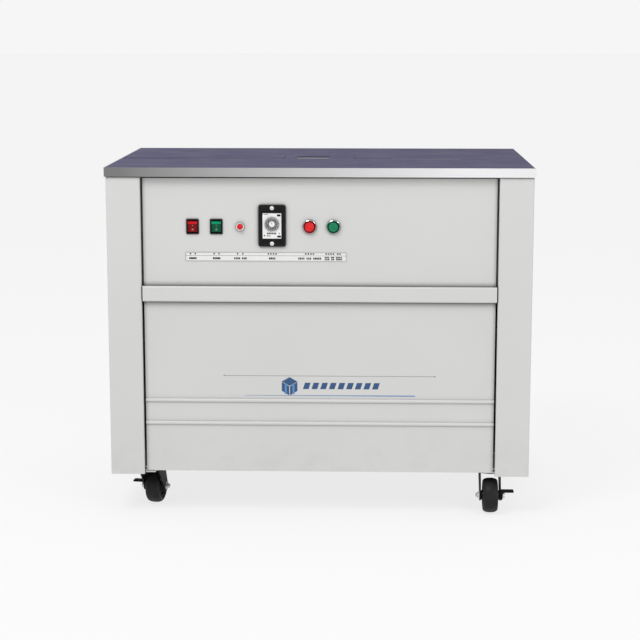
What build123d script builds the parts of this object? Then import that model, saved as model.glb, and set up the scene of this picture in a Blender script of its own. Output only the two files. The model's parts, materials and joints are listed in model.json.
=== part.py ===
from build123d import *
import math
import os

# A semi-automatic strapping machine: a wheeled steel cabinet whose split table
# carries a strap slot over a heat-sealing head. Millimetres, +Z up, +X to the
# operator's right, +Y away from the operator. The origin is on the floor, under
# the middle of the table.

# Overall sizes
TABLE_WIDTH = 900.0
TABLE_DEPTH = 580.0
TABLE_HEIGHT = 746.0

# Table plates: a steel pan with a laminate face let into it
TABLE_BAND = 19.0
PAN_SHEET = 1.5
LAMINATE = 1.0
RIM = 2.0
PLATE_CORNER = 3.0
SEAM = 1.0
TABLE_GAP = 1.5

# Strap slot, seen from the operator's side
SLOT_Y = -28.0
SLOT_WIDTH = 18.0
THIN_SLOT_WIDTH = 8.0
WINDOW_LEFT = -87.0
WINDOW_RIGHT = 71.0
WINDOW_LENGTH = 79.0
THIN_SLOT_END = 154.0
SLOT_RIGHT_END = 307.0

# Table hinges
HINGE_INSET = 5.0
HINGE_RISE = 13.0
HINGE_PIN_RADIUS = 1.5
HOOK_RADIUS = 3.0
HOOK_THICKNESS = 5.0
HOOK_REACH = 23.0
HOOK_STEM = 8.0
HOOK_DROP = 80.0
RUNNING_CLEARANCE = 0.05

# Cabinet sheet metal
CABINET_INSET = 3.0
SHEET = 1.5
BEND_RADIUS = 2.5
COLUMN_WIDTH = 72.0
COLUMN_RETURN = 19.0
COLUMN_DROP = 10.0
PANEL_RECESS = 10.0
PANEL_SHEET = 1.2
PANEL_GAP = 4.0
PANEL_DROP = 4.0
PANEL_TOP_GAP = 2.0
FLANGE_WIDTH = 25.0
PANEL_DEPTH = 7.0

# Rail between the control panel and the door
RAIL_DROP = 250.0
RAIL_HEIGHT = 33.0
RAIL_END_GAP = 2.0

# Front door
DOOR_TOP_GAP = 2.0
DOOR_DEPTH = 12.0
DOOR_PIN_INSET = 8.0
DOOR_PIN_SETBACK = 4.0
DOOR_PIN_RADIUS = 2.5
BEAD_HEIGHT = 9.0
BEAD_PROUD = 3.0
BEAD_LEVELS = (249.0, 199.5)

# Frame of angle iron
FRAME_OVER_WHEELS = 23.0
CORNER_PLATE = 4.0
CORNER_PLATE_SIZE = 120.0
ANGLE = 30.0
ANGLE_WALL = 3.0
FRAME_SETBACK = 31.0
TRAY_SHEET = 1.2
DECK_DROP = 106.0
DECK_SHEET = 4.0
GATE_HALF_X = 8.0
GATE_HALF_Y = 12.0

# Casters
WHEEL_RADIUS = 37.5
WHEEL_WIDTH = 33.0
CASTER_INSET_X = 77.5
CASTER_INSET_Y = 36.0
CASTER_TRAIL = 30.0
CASTER_PLATE = 3.0
AXLE_RADIUS = 4.0
FORK_INSIDE = 40.0
FORK_SHEET = 3.0
FORK_CROWN_RADIUS = 29.0
CROWN_DROP = 7.0
KINGPIN_RADIUS = 6.0

# Controls on the panel
CONTROL_DROP = 124.0
ROCKER_XS = (-266.4, -216.4)
ROCKER_WIDTH = 20.0
ROCKER_HEIGHT = 26.0
BEZEL_WIDTH = 26.0
BEZEL_HEIGHT = 31.6
ROCKER_TILT = 8.0
RESET_X = -166.5
TIMER_X = -99.2
TIMER_RISE = 2.2
TIMER_WIDTH = 57.0
TIMER_HEIGHT = 87.5
TIMER_KNOB_RISE = 6.0
PUSH_XS = (-20.5, 29.4)
PUSH_RING_RADIUS = 14.2
PUSH_CAP_RADIUS = 10.0
LABEL_SPAN = (-282.0, 57.0)
LABEL_DROPS = (73.5, 54.0)
LABEL_SHEET = 0.5


# Openings and depths behind the panel for the controls
RESET_THREAD_RADIUS = 6.0
RESET_NUT_RADIUS = 9.5
RESET_NUT_HEIGHT = 3.0
RESET_BODY_DEPTH = 15.0
RESET_CAP_RADIUS = 4.6
RESET_CAP_PROUD = 8.5
BEZEL_PROUD = 2.5
BEZEL_LIP = 2.0
BARREL_FLOOR = 2.0
RESET_STEM = 5.0
PUSH_STEM = 10.0
CAP_ROUND = 1.0
ROCKER_BODY_DEPTH = 25.0
ROCKER_CAVITY = 14.0
ROCKER_GAP = 0.5
ROCKER_PIVOT_DEPTH = 2.0
ROCKER_CREST = 3.5
ROCKER_HOLLOW = 1.5
ROCKER_SHOULDER = 0.5
ROCKER_KEEL = 6.0
ROCKER_KEEL_HALF = 5.0
TIMER_BODY_WIDTH = 42.0
TIMER_BODY_HEIGHT = 56.0
TIMER_BODY_DEPTH = 45.0
TIMER_FRAME_PROUD = 4.0
TIMER_CORNER = 5.0
TIMER_FACE_PROUD = 6.5
TIMER_DIAL_RADIUS = 14.8
TIMER_DIAL_THICKNESS = 1.5
TIMER_GRIP_RADIUS = 6.5
TIMER_GRIP_LENGTH = 5.5
TIMER_SPINDLE_RADIUS = 3.0
TIMER_SPINDLE_DEPTH = 6.0
PUSH_RING_PROUD = 4.0
PUSH_BARREL_RADIUS = 11.5
PUSH_BODY_DEPTH = 40.0
PUSH_CAP_PROUD = 8.5

# Door pins
PIN_ENGAGEMENT = 9.0
PIN_HEAD = 6.0
SHOE_GAP = 1.0
SHOE_HALF_WIDTH = 10.0
SHOE_NOSE = 5.0

# Rear louvres and cable gland
LOUVRE_XS = (-180.0, 180.0)
LOUVRE_ROWS = 8
LOUVRE_BOTTOM = 240.0
LOUVRE_PITCH = 22.0
LOUVRE_WIDTH = 140.0
LOUVRE_HEIGHT = 10.0
LOUVRE_PROUD = 6.0
LOUVRE_WALL = 2.0
GLAND_X = 320.0
GLAND_RISE = 72.0
GLAND_THREAD_RADIUS = 8.0
GLAND_NUT_RADIUS = 12.0
GLAND_NUT_LENGTH = 12.0
GLAND_TAIL = 14.0
GLAND_BORE_RADIUS = 4.5
LOCKNUT_RADIUS = 11.0
LOCKNUT_LENGTH = 3.0

# Rests under the table plates
REST_OFFSET = 45.0
REST_WIDTH = 20.0
REST_GAP = 0.3

# Caster details
CASTER_PLATE_X = 95.0
CASTER_PLATE_Y = 67.0
CROWN_HEIGHT = 7.0
KINGPIN_HEAD = 3.0
KINGPIN_HEAD_RADIUS = 9.0
SWIVEL_SEAT_RADIUS = 25.0
AXLE_BOSS_RADIUS = 12.0
LEG_TOP_WIDTH = 44.0
AXLE_END = 8.0
AXLE_NUT_RADIUS = 6.5
AXLE_NUT_HEIGHT = 4.0
TREAD_ROUND = 8.0
WHEEL_DISH_OUTER = 25.0
WHEEL_DISH_DEPTH = 6.0
HUB_RADIUS = 11.0
LEVER_RING_RADIUS = 11.0
LEVER_RING_WIDTH = 3.0
LEVER_PEDAL_LEVEL = 9.0
LEVER_PEDAL_SPAN = 18.0
LEVER_PEDAL_THICKNESS = 4.0
LEVER_PEDAL_REACH = 27.0
FIT_GAP = 0.3

# Sealing head
COVER_SHEET = 1.5
COVER_LAP = 0.5
HEAD_LEFT = -61.0
HEAD_RIGHT = 14.0
SLIDE_SHEET = 3.2
SLIDE_SIDE_GAP = 0.4
SLIDE_LENGTH = 50.0
CHEEK_LENGTH = 76.0
CHEEK = 5.0
LEDGE = 2.2
GRIPPER_DROP = 10.5
PRESS_DROP = 13.0
PLUNGER_DEPTH = 16.0
RIB_COUNT = 5
RIB_MARGIN = 2.0
RIB_WIDTH = 1.0
RIB_DEPTH = 0.6
BLOCK_LEFT = -70.0
BLOCK_RIGHT = 24.0
BLOCK_FRONT_WALL = 13.0
BLOCK_LENGTH = 39.0
BLOCK_DROP = 24.0
SHELF_LENGTH = 69.0
SHELF_THICKNESS = 20.0
HEATER_WALL = 4.0
HEATER_WALL_HEIGHT = 8.0
HEATER_SHELF_MARGIN = 6.0
HEATER_LEFT = -34.0
HEATER_RIGHT = -16.0
HEATER_SETBACK = 43.0
HEATER_LENGTH = 22.0
BLADE_DROP = 6.8
BLADE_MARGIN = 3.0
BLADE_ROOT = 6.0
BLADE_SHEET = 0.8
BLADE_REACH = 34.0
CHANNEL_DEPTH = 10.0
CHANNEL_MARGIN = 2.0
FOLLOWER_DROP = 9.0
FOLLOWER_HALF_WIDTH = 6.0
FOLLOWER_RADIUS = 7.0
FOLLOWER_LEFT = -60.0
FOLLOWER_RIGHT = 12.0
FOLLOWER_HALF = 12.0

# Drive under the deck
CAMSHAFT_DROP = 40.0
CAM_HALF_WIDTH = 5.0
CAMSHAFT_RADIUS = 12.0
CAMSHAFT_LEFT = -95.0
CAMSHAFT_ENTRY = 25.0
CAM_RADIUS = 22.0
CAM_THROW = 7.0
BEARING_XS = (-78.0, 37.0)
BEARING_HALF_WIDTH = 7.0
BEARING_HALF_DEPTH = 27.0
BEARING_UNDER_SHAFT = 20.0
GEARBOX_LEFT = 66.0
GEARBOX_RIGHT = 150.0
GEARBOX_AHEAD = 47.0
GEARBOX_BEHIND = 48.0
GEARBOX_HEIGHT = 105.0
GEARBOX_ROUND = 8.0
GEARBOX_SPIGOT = 6.0
SPIGOT_WALL = 8.0
BLIND_END = 1.0
WORM_X = 108.0
WORM_DROP = 77.0
WORM_SHAFT_RADIUS = 8.0
SHAFT_ENTRY = 40.0
BELT_AHEAD = 27.0
SHAFT_NOSE = 4.0
BELT_WIDTH = 8.0
BELT_THICKNESS = 6.0
PULLEY_WIDTH = 16.0
GROOVE_WIDTH = 9.0
GROOVE_DEPTH = 6.0
WORM_PULLEY_RADIUS = 50.0
MOTOR_PULLEY_RADIUS = 32.0
MOTOR_X = 200.0
MOTOR_RISE = 81.8
MOTOR_RADIUS = 62.0
MOTOR_SETBACK = 32.0
MOTOR_LENGTH = 200.0
MOTOR_SHAFT_RADIUS = 9.0
MOTOR_FINS = 24
FIN_HEIGHT = 6.0
FIN_SINK = 2.0
FIN_WIDTH = 3.0
FIN_SETBACK = 20.0
FOOT_SETBACK = 40.0
FOOT_SHEET = 8.0
TERMINAL_SETBACK = 60.0
TERMINAL_HALF_WIDTH = 25.0
TERMINAL_RISE = 28.0

# Strap feed rollers and tension arm
STRAP_X = 112.0
LEFT_GUIDE_X = -220.0
FEED_RADIUS = 24.0
PINCH_RADIUS = 14.0
STRAP_PATH = 0.8
FEED_RISE = 50.0
FEED_PLATE_RISE = 20.0
FEED_PLATE = 6.0
FEED_FOOT = 30.0
FEED_FOOT_SHEET = 4.0
PIN_NOSE = 3.0
ROLLER_WIDTH = 20.0
ROLLER_CHAMFER = 1.0
ROLLER_PIN_RADIUS = 6.0
FEED_PLATE_LEFT = 80.0
FEED_PLATE_RIGHT = 166.0
ROLLER_TO_PLATE = 6.0
ARM_PIVOT_X = -330.0
ARM_PIVOT_DROP = 50.0
ARM_PLATE = 6.0
ARM_BRACKET = 4.0
ARM_BRACKET_HALF = 12.0
ARM_WIDTH = 20.0
ARM_LENGTH = 110.0
ARM_ROLLER_RADIUS = 14.0

# Strap reel
REEL_X = -190.0
REEL_RISE = 206.8
REEL_DRUM_WALL = 3.0
REEL_DRUM_BACK = 6.0
REEL_BOSS_WALL = 12.0
REEL_HOLES = 6
REEL_WIDTH = 190.0
REEL_DRUM_RADIUS = 100.0
REEL_HUB_RADIUS = 20.0
REEL_FLANGE_RADIUS = 180.0
REEL_FLANGE = 3.0
REEL_BOSS = 12.0
REEL_SHAFT_RADIUS = 12.5
REEL_HOLE_CIRCLE = 140.0
REEL_HOLE_RADIUS = 18.0
STAND_GAP = 6.0
STAND_SHEET = 6.0
STAND_HALF_WIDTH = 55.0
STAND_FOOT = 90.0
STAND_OVER_AXLE = 30.0
COLLAR_WIDTH = 8.0
COLLAR_WALL = 5.0

# Electrical box
BOX_LEFT = 290.0
BOX_RIGHT = 430.0
BOX_FRONT = 60.0
BOX_BACK = 180.0
BOX_HEIGHT = 206.8
PART_MARGIN = 15.0
PART_GAP = 10.0
CONTACTOR_WIDTH = 50.0
CONTACTOR_DEPTH = 60.0
RELAY_DEPTH = 40.0
PARTS_TOP_DROP = 20.0
PARTS_HEIGHT = 70.0
TRANSFORMER_DEPTH = 80.0
TRANSFORMER_TOP = 75.0

# Levels and faces worked out from the sizes above
HALF_WIDTH = TABLE_WIDTH / 2
HALF_DEPTH = TABLE_DEPTH / 2
BAND_BOTTOM = TABLE_HEIGHT - TABLE_BAND
PAN_TOP = TABLE_HEIGHT - LAMINATE
PAN_UNDERSIDE = PAN_TOP - PAN_SHEET
CABINET_TOP = BAND_BOTTOM - TABLE_GAP
PANEL_TOP = CABINET_TOP - PANEL_TOP_GAP
CABINET_HALF_WIDTH = HALF_WIDTH - CABINET_INSET
CABINET_HALF_DEPTH = HALF_DEPTH - CABINET_INSET
COLUMN_INNER = CABINET_HALF_WIDTH - COLUMN_WIDTH
PANEL_FACE = CABINET_HALF_DEPTH - PANEL_RECESS
PANEL_HALF_WIDTH = COLUMN_INNER - PANEL_GAP
FLANGE_FACE = PANEL_FACE - PANEL_DEPTH
WALL_INSIDE = CABINET_HALF_WIDTH - SHEET
HINGE_Y = HALF_DEPTH - HINGE_INSET
HINGE_Z = BAND_BOTTOM + HINGE_RISE
RAIL_TOP = TABLE_HEIGHT - RAIL_DROP
RAIL_BOTTOM = RAIL_TOP - RAIL_HEIGHT
DOOR_TOP = RAIL_BOTTOM - DOOR_TOP_GAP
CONTROL_LEVEL = TABLE_HEIGHT - CONTROL_DROP
TIMER_LEVEL = CONTROL_LEVEL + TIMER_RISE
TIMER_KNOB_LEVEL = CONTROL_LEVEL + TIMER_KNOB_RISE
ROCKER_BODY_HALF_WIDTH = BEZEL_WIDTH / 2 - BEZEL_LIP
ROCKER_BODY_HALF_HEIGHT = BEZEL_HEIGHT / 2 - BEZEL_LIP
FRAME_BOTTOM = 2 * WHEEL_RADIUS + FRAME_OVER_WHEELS
CROWN_TOP = FRAME_BOTTOM - CROWN_DROP
COLUMN_BOTTOM = FRAME_BOTTOM - COLUMN_DROP
PANEL_BOTTOM = FRAME_BOTTOM - PANEL_DROP
SHOE_TOP = PANEL_BOTTOM - SHOE_GAP
DECK_LEVEL = TABLE_HEIGHT - DECK_DROP
FRAME_HALF_WIDTH = WALL_INSIDE
FRAME_HALF_DEPTH = CABINET_HALF_DEPTH - FRAME_SETBACK
CASTER_X = FRAME_HALF_WIDTH - CASTER_INSET_X
CASTER_Y = FRAME_HALF_DEPTH - CASTER_INSET_Y
RAILS_TOP = FRAME_BOTTOM + CORNER_PLATE + ANGLE
TRAY_TOP = RAILS_TOP + TRAY_SHEET
GLAND_Z = FRAME_BOTTOM + GLAND_RISE
MOTOR_Z = TRAY_TOP + MOTOR_RISE
REEL_Z = TRAY_TOP + REEL_RISE
BOX_TOP = TRAY_TOP + BOX_HEIGHT
DECK_TOP = DECK_LEVEL + DECK_SHEET
DOOR_PIN_X = -PANEL_HALF_WIDTH + DOOR_PIN_INSET
DOOR_PIN_Y = -PANEL_FACE + DOOR_PIN_SETBACK
DECK_HALF_DEPTH = FRAME_HALF_DEPTH - ANGLE
FEED_X = STRAP_X + STRAP_PATH / 2 + FEED_RADIUS
PINCH_X = STRAP_X - STRAP_PATH / 2 - PINCH_RADIUS
FEED_Z = DECK_LEVEL + FEED_RISE
CAMSHAFT_Z = DECK_LEVEL - CAMSHAFT_DROP
WORM_Z = DECK_LEVEL - WORM_DROP
GEARBOX_BOTTOM = DECK_LEVEL - GEARBOX_HEIGHT
ARM_PIVOT_Z = DECK_LEVEL - ARM_PIVOT_DROP
SLOT_FRONT = SLOT_Y - SLOT_WIDTH / 2
SLOT_BACK = SLOT_Y + SLOT_WIDTH / 2
WINDOW_BACK = SLOT_BACK + WINDOW_LENGTH
ROLLER_FRONT = SLOT_Y - ROLLER_WIDTH / 2
ROLLER_BACK = SLOT_Y + ROLLER_WIDTH / 2
FEED_PLATE_Y = ROLLER_BACK + ROLLER_TO_PLATE
ARM_PLATE_Y = ROLLER_BACK + ROLLER_TO_PLATE
GEARBOX_FRONT = SLOT_Y - GEARBOX_AHEAD
GEARBOX_BACK = SLOT_Y + GEARBOX_BEHIND
BELT_Y = GEARBOX_FRONT - BELT_AHEAD
MOTOR_FRONT = BELT_Y + MOTOR_SETBACK
MOTOR_BACK = MOTOR_FRONT + MOTOR_LENGTH

os.makedirs("parts", exist_ok=True)


def keep(piece, label):
    """Names a finished piece and writes it."""
    piece.part.label = label
    export_step(piece.part, f"parts/{label}.step")


def block(x0, x1, y0, y1, z0, z1, mode=Mode.ADD):
    """A rectangular block between two corners."""
    with Locations(((x0 + x1) / 2, (y0 + y1) / 2, (z0 + z1) / 2)):
        Box(x1 - x0, y1 - y0, z1 - z0, mode=mode)


def rod_x(y, z, radius, x0, x1, mode=Mode.ADD):
    """A round bar along X."""
    with Locations(Location(((x0 + x1) / 2, y, z), (0, 90, 0))):
        Cylinder(radius, x1 - x0, mode=mode)


def rod_y(x, z, radius, y0, y1, mode=Mode.ADD):
    """A round bar along Y."""
    with Locations(Location((x, (y0 + y1) / 2, z), (90, 0, 0))):
        Cylinder(radius, y1 - y0, mode=mode)


def rod_z(x, y, radius, z0, z1, mode=Mode.ADD):
    """A round bar along Z."""
    with Locations((x, y, (z0 + z1) / 2)):
        Cylinder(radius, z1 - z0, mode=mode)


def patch(x0, x1, y0, y1, mode=Mode.ADD):
    """A rectangle between two corners, in the sketch's own plane."""
    with Locations(((x0 + x1) / 2, (y0 + y1) / 2)):
        Rectangle(x1 - x0, y1 - y0, mode=mode)


# ---------------------------------------------------------------- table plates


def plate_outline(side, inset, lip):
    """One half of the table, side -1 in front of the slot and +1 behind it.

    inset pulls in the outer edges, and lip pulls back from the slot."""
    seam = SLOT_Y + side * (SEAM / 2 + lip)
    edge = side * (HALF_DEPTH - inset)
    patch(-HALF_WIDTH + inset, HALF_WIDTH - inset, min(seam, edge), max(seam, edge))
    half_slot = SLOT_WIDTH / 2 + lip
    half_thin = THIN_SLOT_WIDTH / 2 + lip
    patch(-HALF_WIDTH, WINDOW_LEFT, SLOT_Y - half_slot, SLOT_Y + half_slot, Mode.SUBTRACT)
    patch(WINDOW_LEFT - lip, WINDOW_RIGHT + lip, SLOT_Y - half_slot, WINDOW_BACK + lip, Mode.SUBTRACT)
    patch(WINDOW_RIGHT, THIN_SLOT_END + lip, SLOT_Y - half_thin, SLOT_Y + half_thin, Mode.SUBTRACT)
    patch(THIN_SLOT_END - lip, SLOT_RIGHT_END + lip, SLOT_Y - half_slot, SLOT_Y + half_slot, Mode.SUBTRACT)


def table_pan(side):
    """A steel pan with a turned-down edge all round and a hinge stud at each end."""
    with BuildPart() as pan:
        with BuildSketch(Plane.XY.offset(BAND_BOTTOM)) as face:
            plate_outline(side, 0, 0)
            outer = face.vertices().filter_by(lambda v: abs(v.Y) > HALF_DEPTH - 1)
            fillet(outer, PLATE_CORNER)
        extrude(amount=TABLE_BAND)
        with BuildSketch(Plane.XY.offset(BAND_BOTTOM)):
            plate_outline(side, PAN_SHEET, PAN_SHEET)
        extrude(amount=PAN_UNDERSIDE - BAND_BOTTOM, mode=Mode.SUBTRACT)
        with BuildSketch(Plane.XY.offset(PAN_TOP)):
            plate_outline(side, RIM, 0)
        extrude(amount=LAMINATE, mode=Mode.SUBTRACT)
        for end in (-1, 1):
            stud_root = end * (HALF_WIDTH - PAN_SHEET)
            stud_tip = end * (WALL_INSIDE - HOOK_THICKNESS - HOOK_RADIUS)
            low = min(stud_root, stud_tip)
            high = max(stud_root, stud_tip)
            rod_x(side * HINGE_Y, HINGE_Z, HINGE_PIN_RADIUS, low, high)
    return pan


def table_sheet(side):
    """The laminate let into the top of a pan."""
    with BuildPart() as sheet:
        with BuildSketch(Plane.XY.offset(PAN_TOP)):
            plate_outline(side, RIM, 0)
        extrude(amount=LAMINATE)
    return sheet


keep(table_pan(-1), "front_table_pan")
keep(table_sheet(-1), "front_table_sheet")
keep(table_pan(1), "rear_table_pan")
keep(table_sheet(1), "rear_table_sheet")

with BuildPart() as table_hinge_hooks:
    for side in (-1, 1):
        for end in (-1, 1):
            inner = end * (WALL_INSIDE - HOOK_THICKNESS)
            outer_face = end * WALL_INSIDE
            low = min(inner, outer_face)
            high = max(inner, outer_face)
            pin_y = side * HINGE_Y
            stem_y = side * (HINGE_Y - HOOK_REACH)
            stem_front = stem_y + side * HOOK_STEM
            block(low, high, min(pin_y, stem_y), max(pin_y, stem_y),
                  HINGE_Z - HOOK_RADIUS, HINGE_Z + HOOK_RADIUS)
            block(low, high, min(stem_front, stem_y), max(stem_front, stem_y),
                  HINGE_Z - HOOK_DROP, HINGE_Z + HOOK_RADIUS)
            rod_x(pin_y, HINGE_Z, HOOK_RADIUS, low, high)
            rod_x(pin_y, HINGE_Z, HINGE_PIN_RADIUS + RUNNING_CLEARANCE, low, high, Mode.SUBTRACT)
keep(table_hinge_hooks, "table_hinge_hooks")

# ---------------------------------------------------------------- cabinet


def side_panel(end):
    """A wall with a folded column at its front and back edges."""
    mid = SHEET / 2
    wall = CABINET_HALF_WIDTH - mid
    face = CABINET_HALF_DEPTH - mid
    inner = COLUMN_INNER + mid
    back = CABINET_HALF_DEPTH - COLUMN_RETURN
    path = [(inner, -back), (inner, -face), (wall, -face), (wall, face), (inner, face), (inner, back)]
    with BuildPart() as panel:
        with BuildSketch(Plane.XY.offset(COLUMN_BOTTOM)):
            with BuildLine():
                FilletPolyline(*[(end * x, y) for x, y in path], radius=BEND_RADIUS)
            trace(line_width=SHEET)
        extrude(amount=CABINET_TOP - COLUMN_BOTTOM)
        tip = end * (COLUMN_INNER - FLANGE_WIDTH)
        root = end * (COLUMN_INNER + SHEET)
        low = min(tip, root)
        high = max(tip, root)
        block(low, high, -FLANGE_FACE, -FLANGE_FACE + SHEET, RAIL_BOTTOM, CABINET_TOP)
        block(low, high, FLANGE_FACE - SHEET, FLANGE_FACE, PANEL_BOTTOM, CABINET_TOP)
    return panel


keep(side_panel(-1), "left_side_panel")
keep(side_panel(1), "right_side_panel")


def panel_tray(face_y, inward, z0, z1, depth):
    """A flat panel with its four edges turned back, its face at face_y."""
    back_y = face_y + inward * depth
    skin_y = face_y + inward * PANEL_SHEET
    block(-PANEL_HALF_WIDTH, PANEL_HALF_WIDTH, min(face_y, back_y), max(face_y, back_y), z0, z1)
    block(-PANEL_HALF_WIDTH + PANEL_SHEET, PANEL_HALF_WIDTH - PANEL_SHEET,
          min(skin_y, back_y), max(skin_y, back_y), z0 + PANEL_SHEET, z1 - PANEL_SHEET, Mode.SUBTRACT)


with BuildPart() as control_panel:
    panel_tray(-PANEL_FACE, 1, RAIL_TOP, PANEL_TOP, PANEL_DEPTH)
    for rocker_x in ROCKER_XS:
        block(rocker_x - ROCKER_BODY_HALF_WIDTH, rocker_x + ROCKER_BODY_HALF_WIDTH, -PANEL_FACE, -FLANGE_FACE,
              CONTROL_LEVEL - ROCKER_BODY_HALF_HEIGHT, CONTROL_LEVEL + ROCKER_BODY_HALF_HEIGHT, Mode.SUBTRACT)
    rod_y(RESET_X, CONTROL_LEVEL, RESET_THREAD_RADIUS, -PANEL_FACE, -FLANGE_FACE, Mode.SUBTRACT)
    block(TIMER_X - TIMER_BODY_WIDTH / 2, TIMER_X + TIMER_BODY_WIDTH / 2, -PANEL_FACE, -FLANGE_FACE,
          TIMER_LEVEL - TIMER_BODY_HEIGHT / 2, TIMER_LEVEL + TIMER_BODY_HEIGHT / 2, Mode.SUBTRACT)
    for push_x in PUSH_XS:
        rod_y(push_x, CONTROL_LEVEL, PUSH_BARREL_RADIUS, -PANEL_FACE, -FLANGE_FACE, Mode.SUBTRACT)
keep(control_panel, "control_panel")

with BuildPart() as front_rail:
    rail_mid = SHEET / 2
    rail_face = -CABINET_HALF_DEPTH + rail_mid
    rail_half = COLUMN_INNER - RAIL_END_GAP
    with BuildSketch(Plane.YZ.offset(-rail_half)):
        with BuildLine():
            FilletPolyline((-FLANGE_FACE, RAIL_BOTTOM + rail_mid), (rail_face, RAIL_BOTTOM + rail_mid),
                           (rail_face, RAIL_TOP - rail_mid), (-FLANGE_FACE, RAIL_TOP - rail_mid),
                           radius=BEND_RADIUS)
        trace(line_width=SHEET)
    extrude(amount=2 * rail_half)
    rod_z(DOOR_PIN_X, DOOR_PIN_Y, DOOR_PIN_RADIUS, RAIL_BOTTOM, RAIL_BOTTOM + SHEET, Mode.SUBTRACT)
keep(front_rail, "front_rail")


with BuildPart() as front_door:
    panel_tray(-PANEL_FACE, 1, PANEL_BOTTOM, DOOR_TOP, DOOR_DEPTH)
    for level in BEAD_LEVELS:
        with BuildSketch(Plane.YZ.offset(-PANEL_HALF_WIDTH)):
            with BuildLine():
                top = (-PANEL_FACE, level + BEAD_HEIGHT / 2)
                foot = (-PANEL_FACE, level - BEAD_HEIGHT / 2)
                crest = (-PANEL_FACE - BEAD_PROUD, level)
                ThreePointArc(top, crest, foot)
                Line(foot, top)
            make_face()
        extrude(amount=2 * PANEL_HALF_WIDTH)
    rod_z(DOOR_PIN_X, DOOR_PIN_Y, DOOR_PIN_RADIUS + RUNNING_CLEARANCE, PANEL_BOTTOM, DOOR_TOP, Mode.SUBTRACT)
keep(front_door, "front_door")

with BuildPart() as door_hinge_pins:
    rod_z(DOOR_PIN_X, DOOR_PIN_Y, DOOR_PIN_RADIUS, DOOR_TOP - PIN_ENGAGEMENT, RAIL_BOTTOM + SHEET + PIN_HEAD)
    rod_z(DOOR_PIN_X, DOOR_PIN_Y, DOOR_PIN_RADIUS, SHOE_TOP, PANEL_BOTTOM + PIN_ENGAGEMENT)
    shoe_left = DOOR_PIN_X - SHOE_HALF_WIDTH
    shoe_right = DOOR_PIN_X + SHOE_HALF_WIDTH
    block(shoe_left, shoe_right, DOOR_PIN_Y - SHOE_NOSE, -FRAME_HALF_DEPTH, SHOE_TOP - ANGLE_WALL, SHOE_TOP)
    block(shoe_left, shoe_right, -FRAME_HALF_DEPTH - ANGLE_WALL, -FRAME_HALF_DEPTH,
          SHOE_TOP - ANGLE_WALL, RAILS_TOP - SHOE_NOSE)
keep(door_hinge_pins, "door_hinge_pins")

with BuildPart() as rear_panel:
    panel_tray(PANEL_FACE, -1, PANEL_BOTTOM, PANEL_TOP, PANEL_DEPTH)
    for louvre_x in LOUVRE_XS:
        for row in range(LOUVRE_ROWS):
            level = LOUVRE_BOTTOM + row * LOUVRE_PITCH
            block(louvre_x - LOUVRE_WIDTH / 2, louvre_x + LOUVRE_WIDTH / 2, PANEL_FACE - PANEL_SHEET,
                  PANEL_FACE + LOUVRE_PROUD, level, level + LOUVRE_HEIGHT)
            block(louvre_x - LOUVRE_WIDTH / 2 + LOUVRE_WALL, louvre_x + LOUVRE_WIDTH / 2 - LOUVRE_WALL,
                  PANEL_FACE - PANEL_SHEET, PANEL_FACE + LOUVRE_PROUD - PANEL_SHEET,
                  level, level + LOUVRE_HEIGHT - PANEL_SHEET, Mode.SUBTRACT)
    rod_y(GLAND_X, GLAND_Z, GLAND_THREAD_RADIUS, FLANGE_FACE, PANEL_FACE, Mode.SUBTRACT)
keep(rear_panel, "rear_panel")

with BuildPart() as cable_gland:
    with BuildSketch(Plane.XZ.offset(-PANEL_FACE)):
        with Locations((GLAND_X, GLAND_Z)):
            RegularPolygon(GLAND_NUT_RADIUS, 6)
    extrude(amount=-GLAND_NUT_LENGTH)
    rod_y(GLAND_X, GLAND_Z, GLAND_THREAD_RADIUS, PANEL_FACE - GLAND_TAIL, PANEL_FACE)
    panel_back = PANEL_FACE - PANEL_SHEET
    rod_y(GLAND_X, GLAND_Z, LOCKNUT_RADIUS, panel_back - LOCKNUT_LENGTH, panel_back)
    rod_y(GLAND_X, GLAND_Z, GLAND_BORE_RADIUS, PANEL_FACE - GLAND_TAIL,
          PANEL_FACE + GLAND_NUT_LENGTH, Mode.SUBTRACT)
keep(cable_gland, "cable_gland")

# ---------------------------------------------------------------- frame


def angle_along_x(x0, x1, outer_y, z_top, side):
    """Angle iron along X: a flat leg on top and an upright leg at outer_y."""
    inner_y = outer_y - side * ANGLE
    wall_y = outer_y - side * ANGLE_WALL
    block(x0, x1, min(outer_y, inner_y), max(outer_y, inner_y), z_top - ANGLE_WALL, z_top)
    block(x0, x1, min(outer_y, wall_y), max(outer_y, wall_y), z_top - ANGLE, z_top)


def angle_along_y(y0, y1, outer_x, z_top, side):
    """Angle iron along Y: a flat leg on top and an upright leg at outer_x."""
    inner_x = outer_x - side * ANGLE
    wall_x = outer_x - side * ANGLE_WALL
    block(min(outer_x, inner_x), max(outer_x, inner_x), y0, y1, z_top - ANGLE_WALL, z_top)
    block(min(outer_x, wall_x), max(outer_x, wall_x), y0, y1, z_top - ANGLE, z_top)


with BuildPart() as base_frame:
    for side in (-1, 1):
        angle_along_x(-FRAME_HALF_WIDTH, FRAME_HALF_WIDTH, side * FRAME_HALF_DEPTH, RAILS_TOP, side)
        angle_along_y(-FRAME_HALF_DEPTH, FRAME_HALF_DEPTH, side * FRAME_HALF_WIDTH, RAILS_TOP, side)
        for end in (-1, 1):
            corner_x = end * FRAME_HALF_WIDTH
            corner_y = side * FRAME_HALF_DEPTH
            reach_x = corner_x - end * CORNER_PLATE_SIZE
            reach_y = corner_y - side * CORNER_PLATE_SIZE
            block(min(corner_x, reach_x), max(corner_x, reach_x), min(corner_y, reach_y),
                  max(corner_y, reach_y), FRAME_BOTTOM, FRAME_BOTTOM + CORNER_PLATE)
keep(base_frame, "base_frame")

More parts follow.
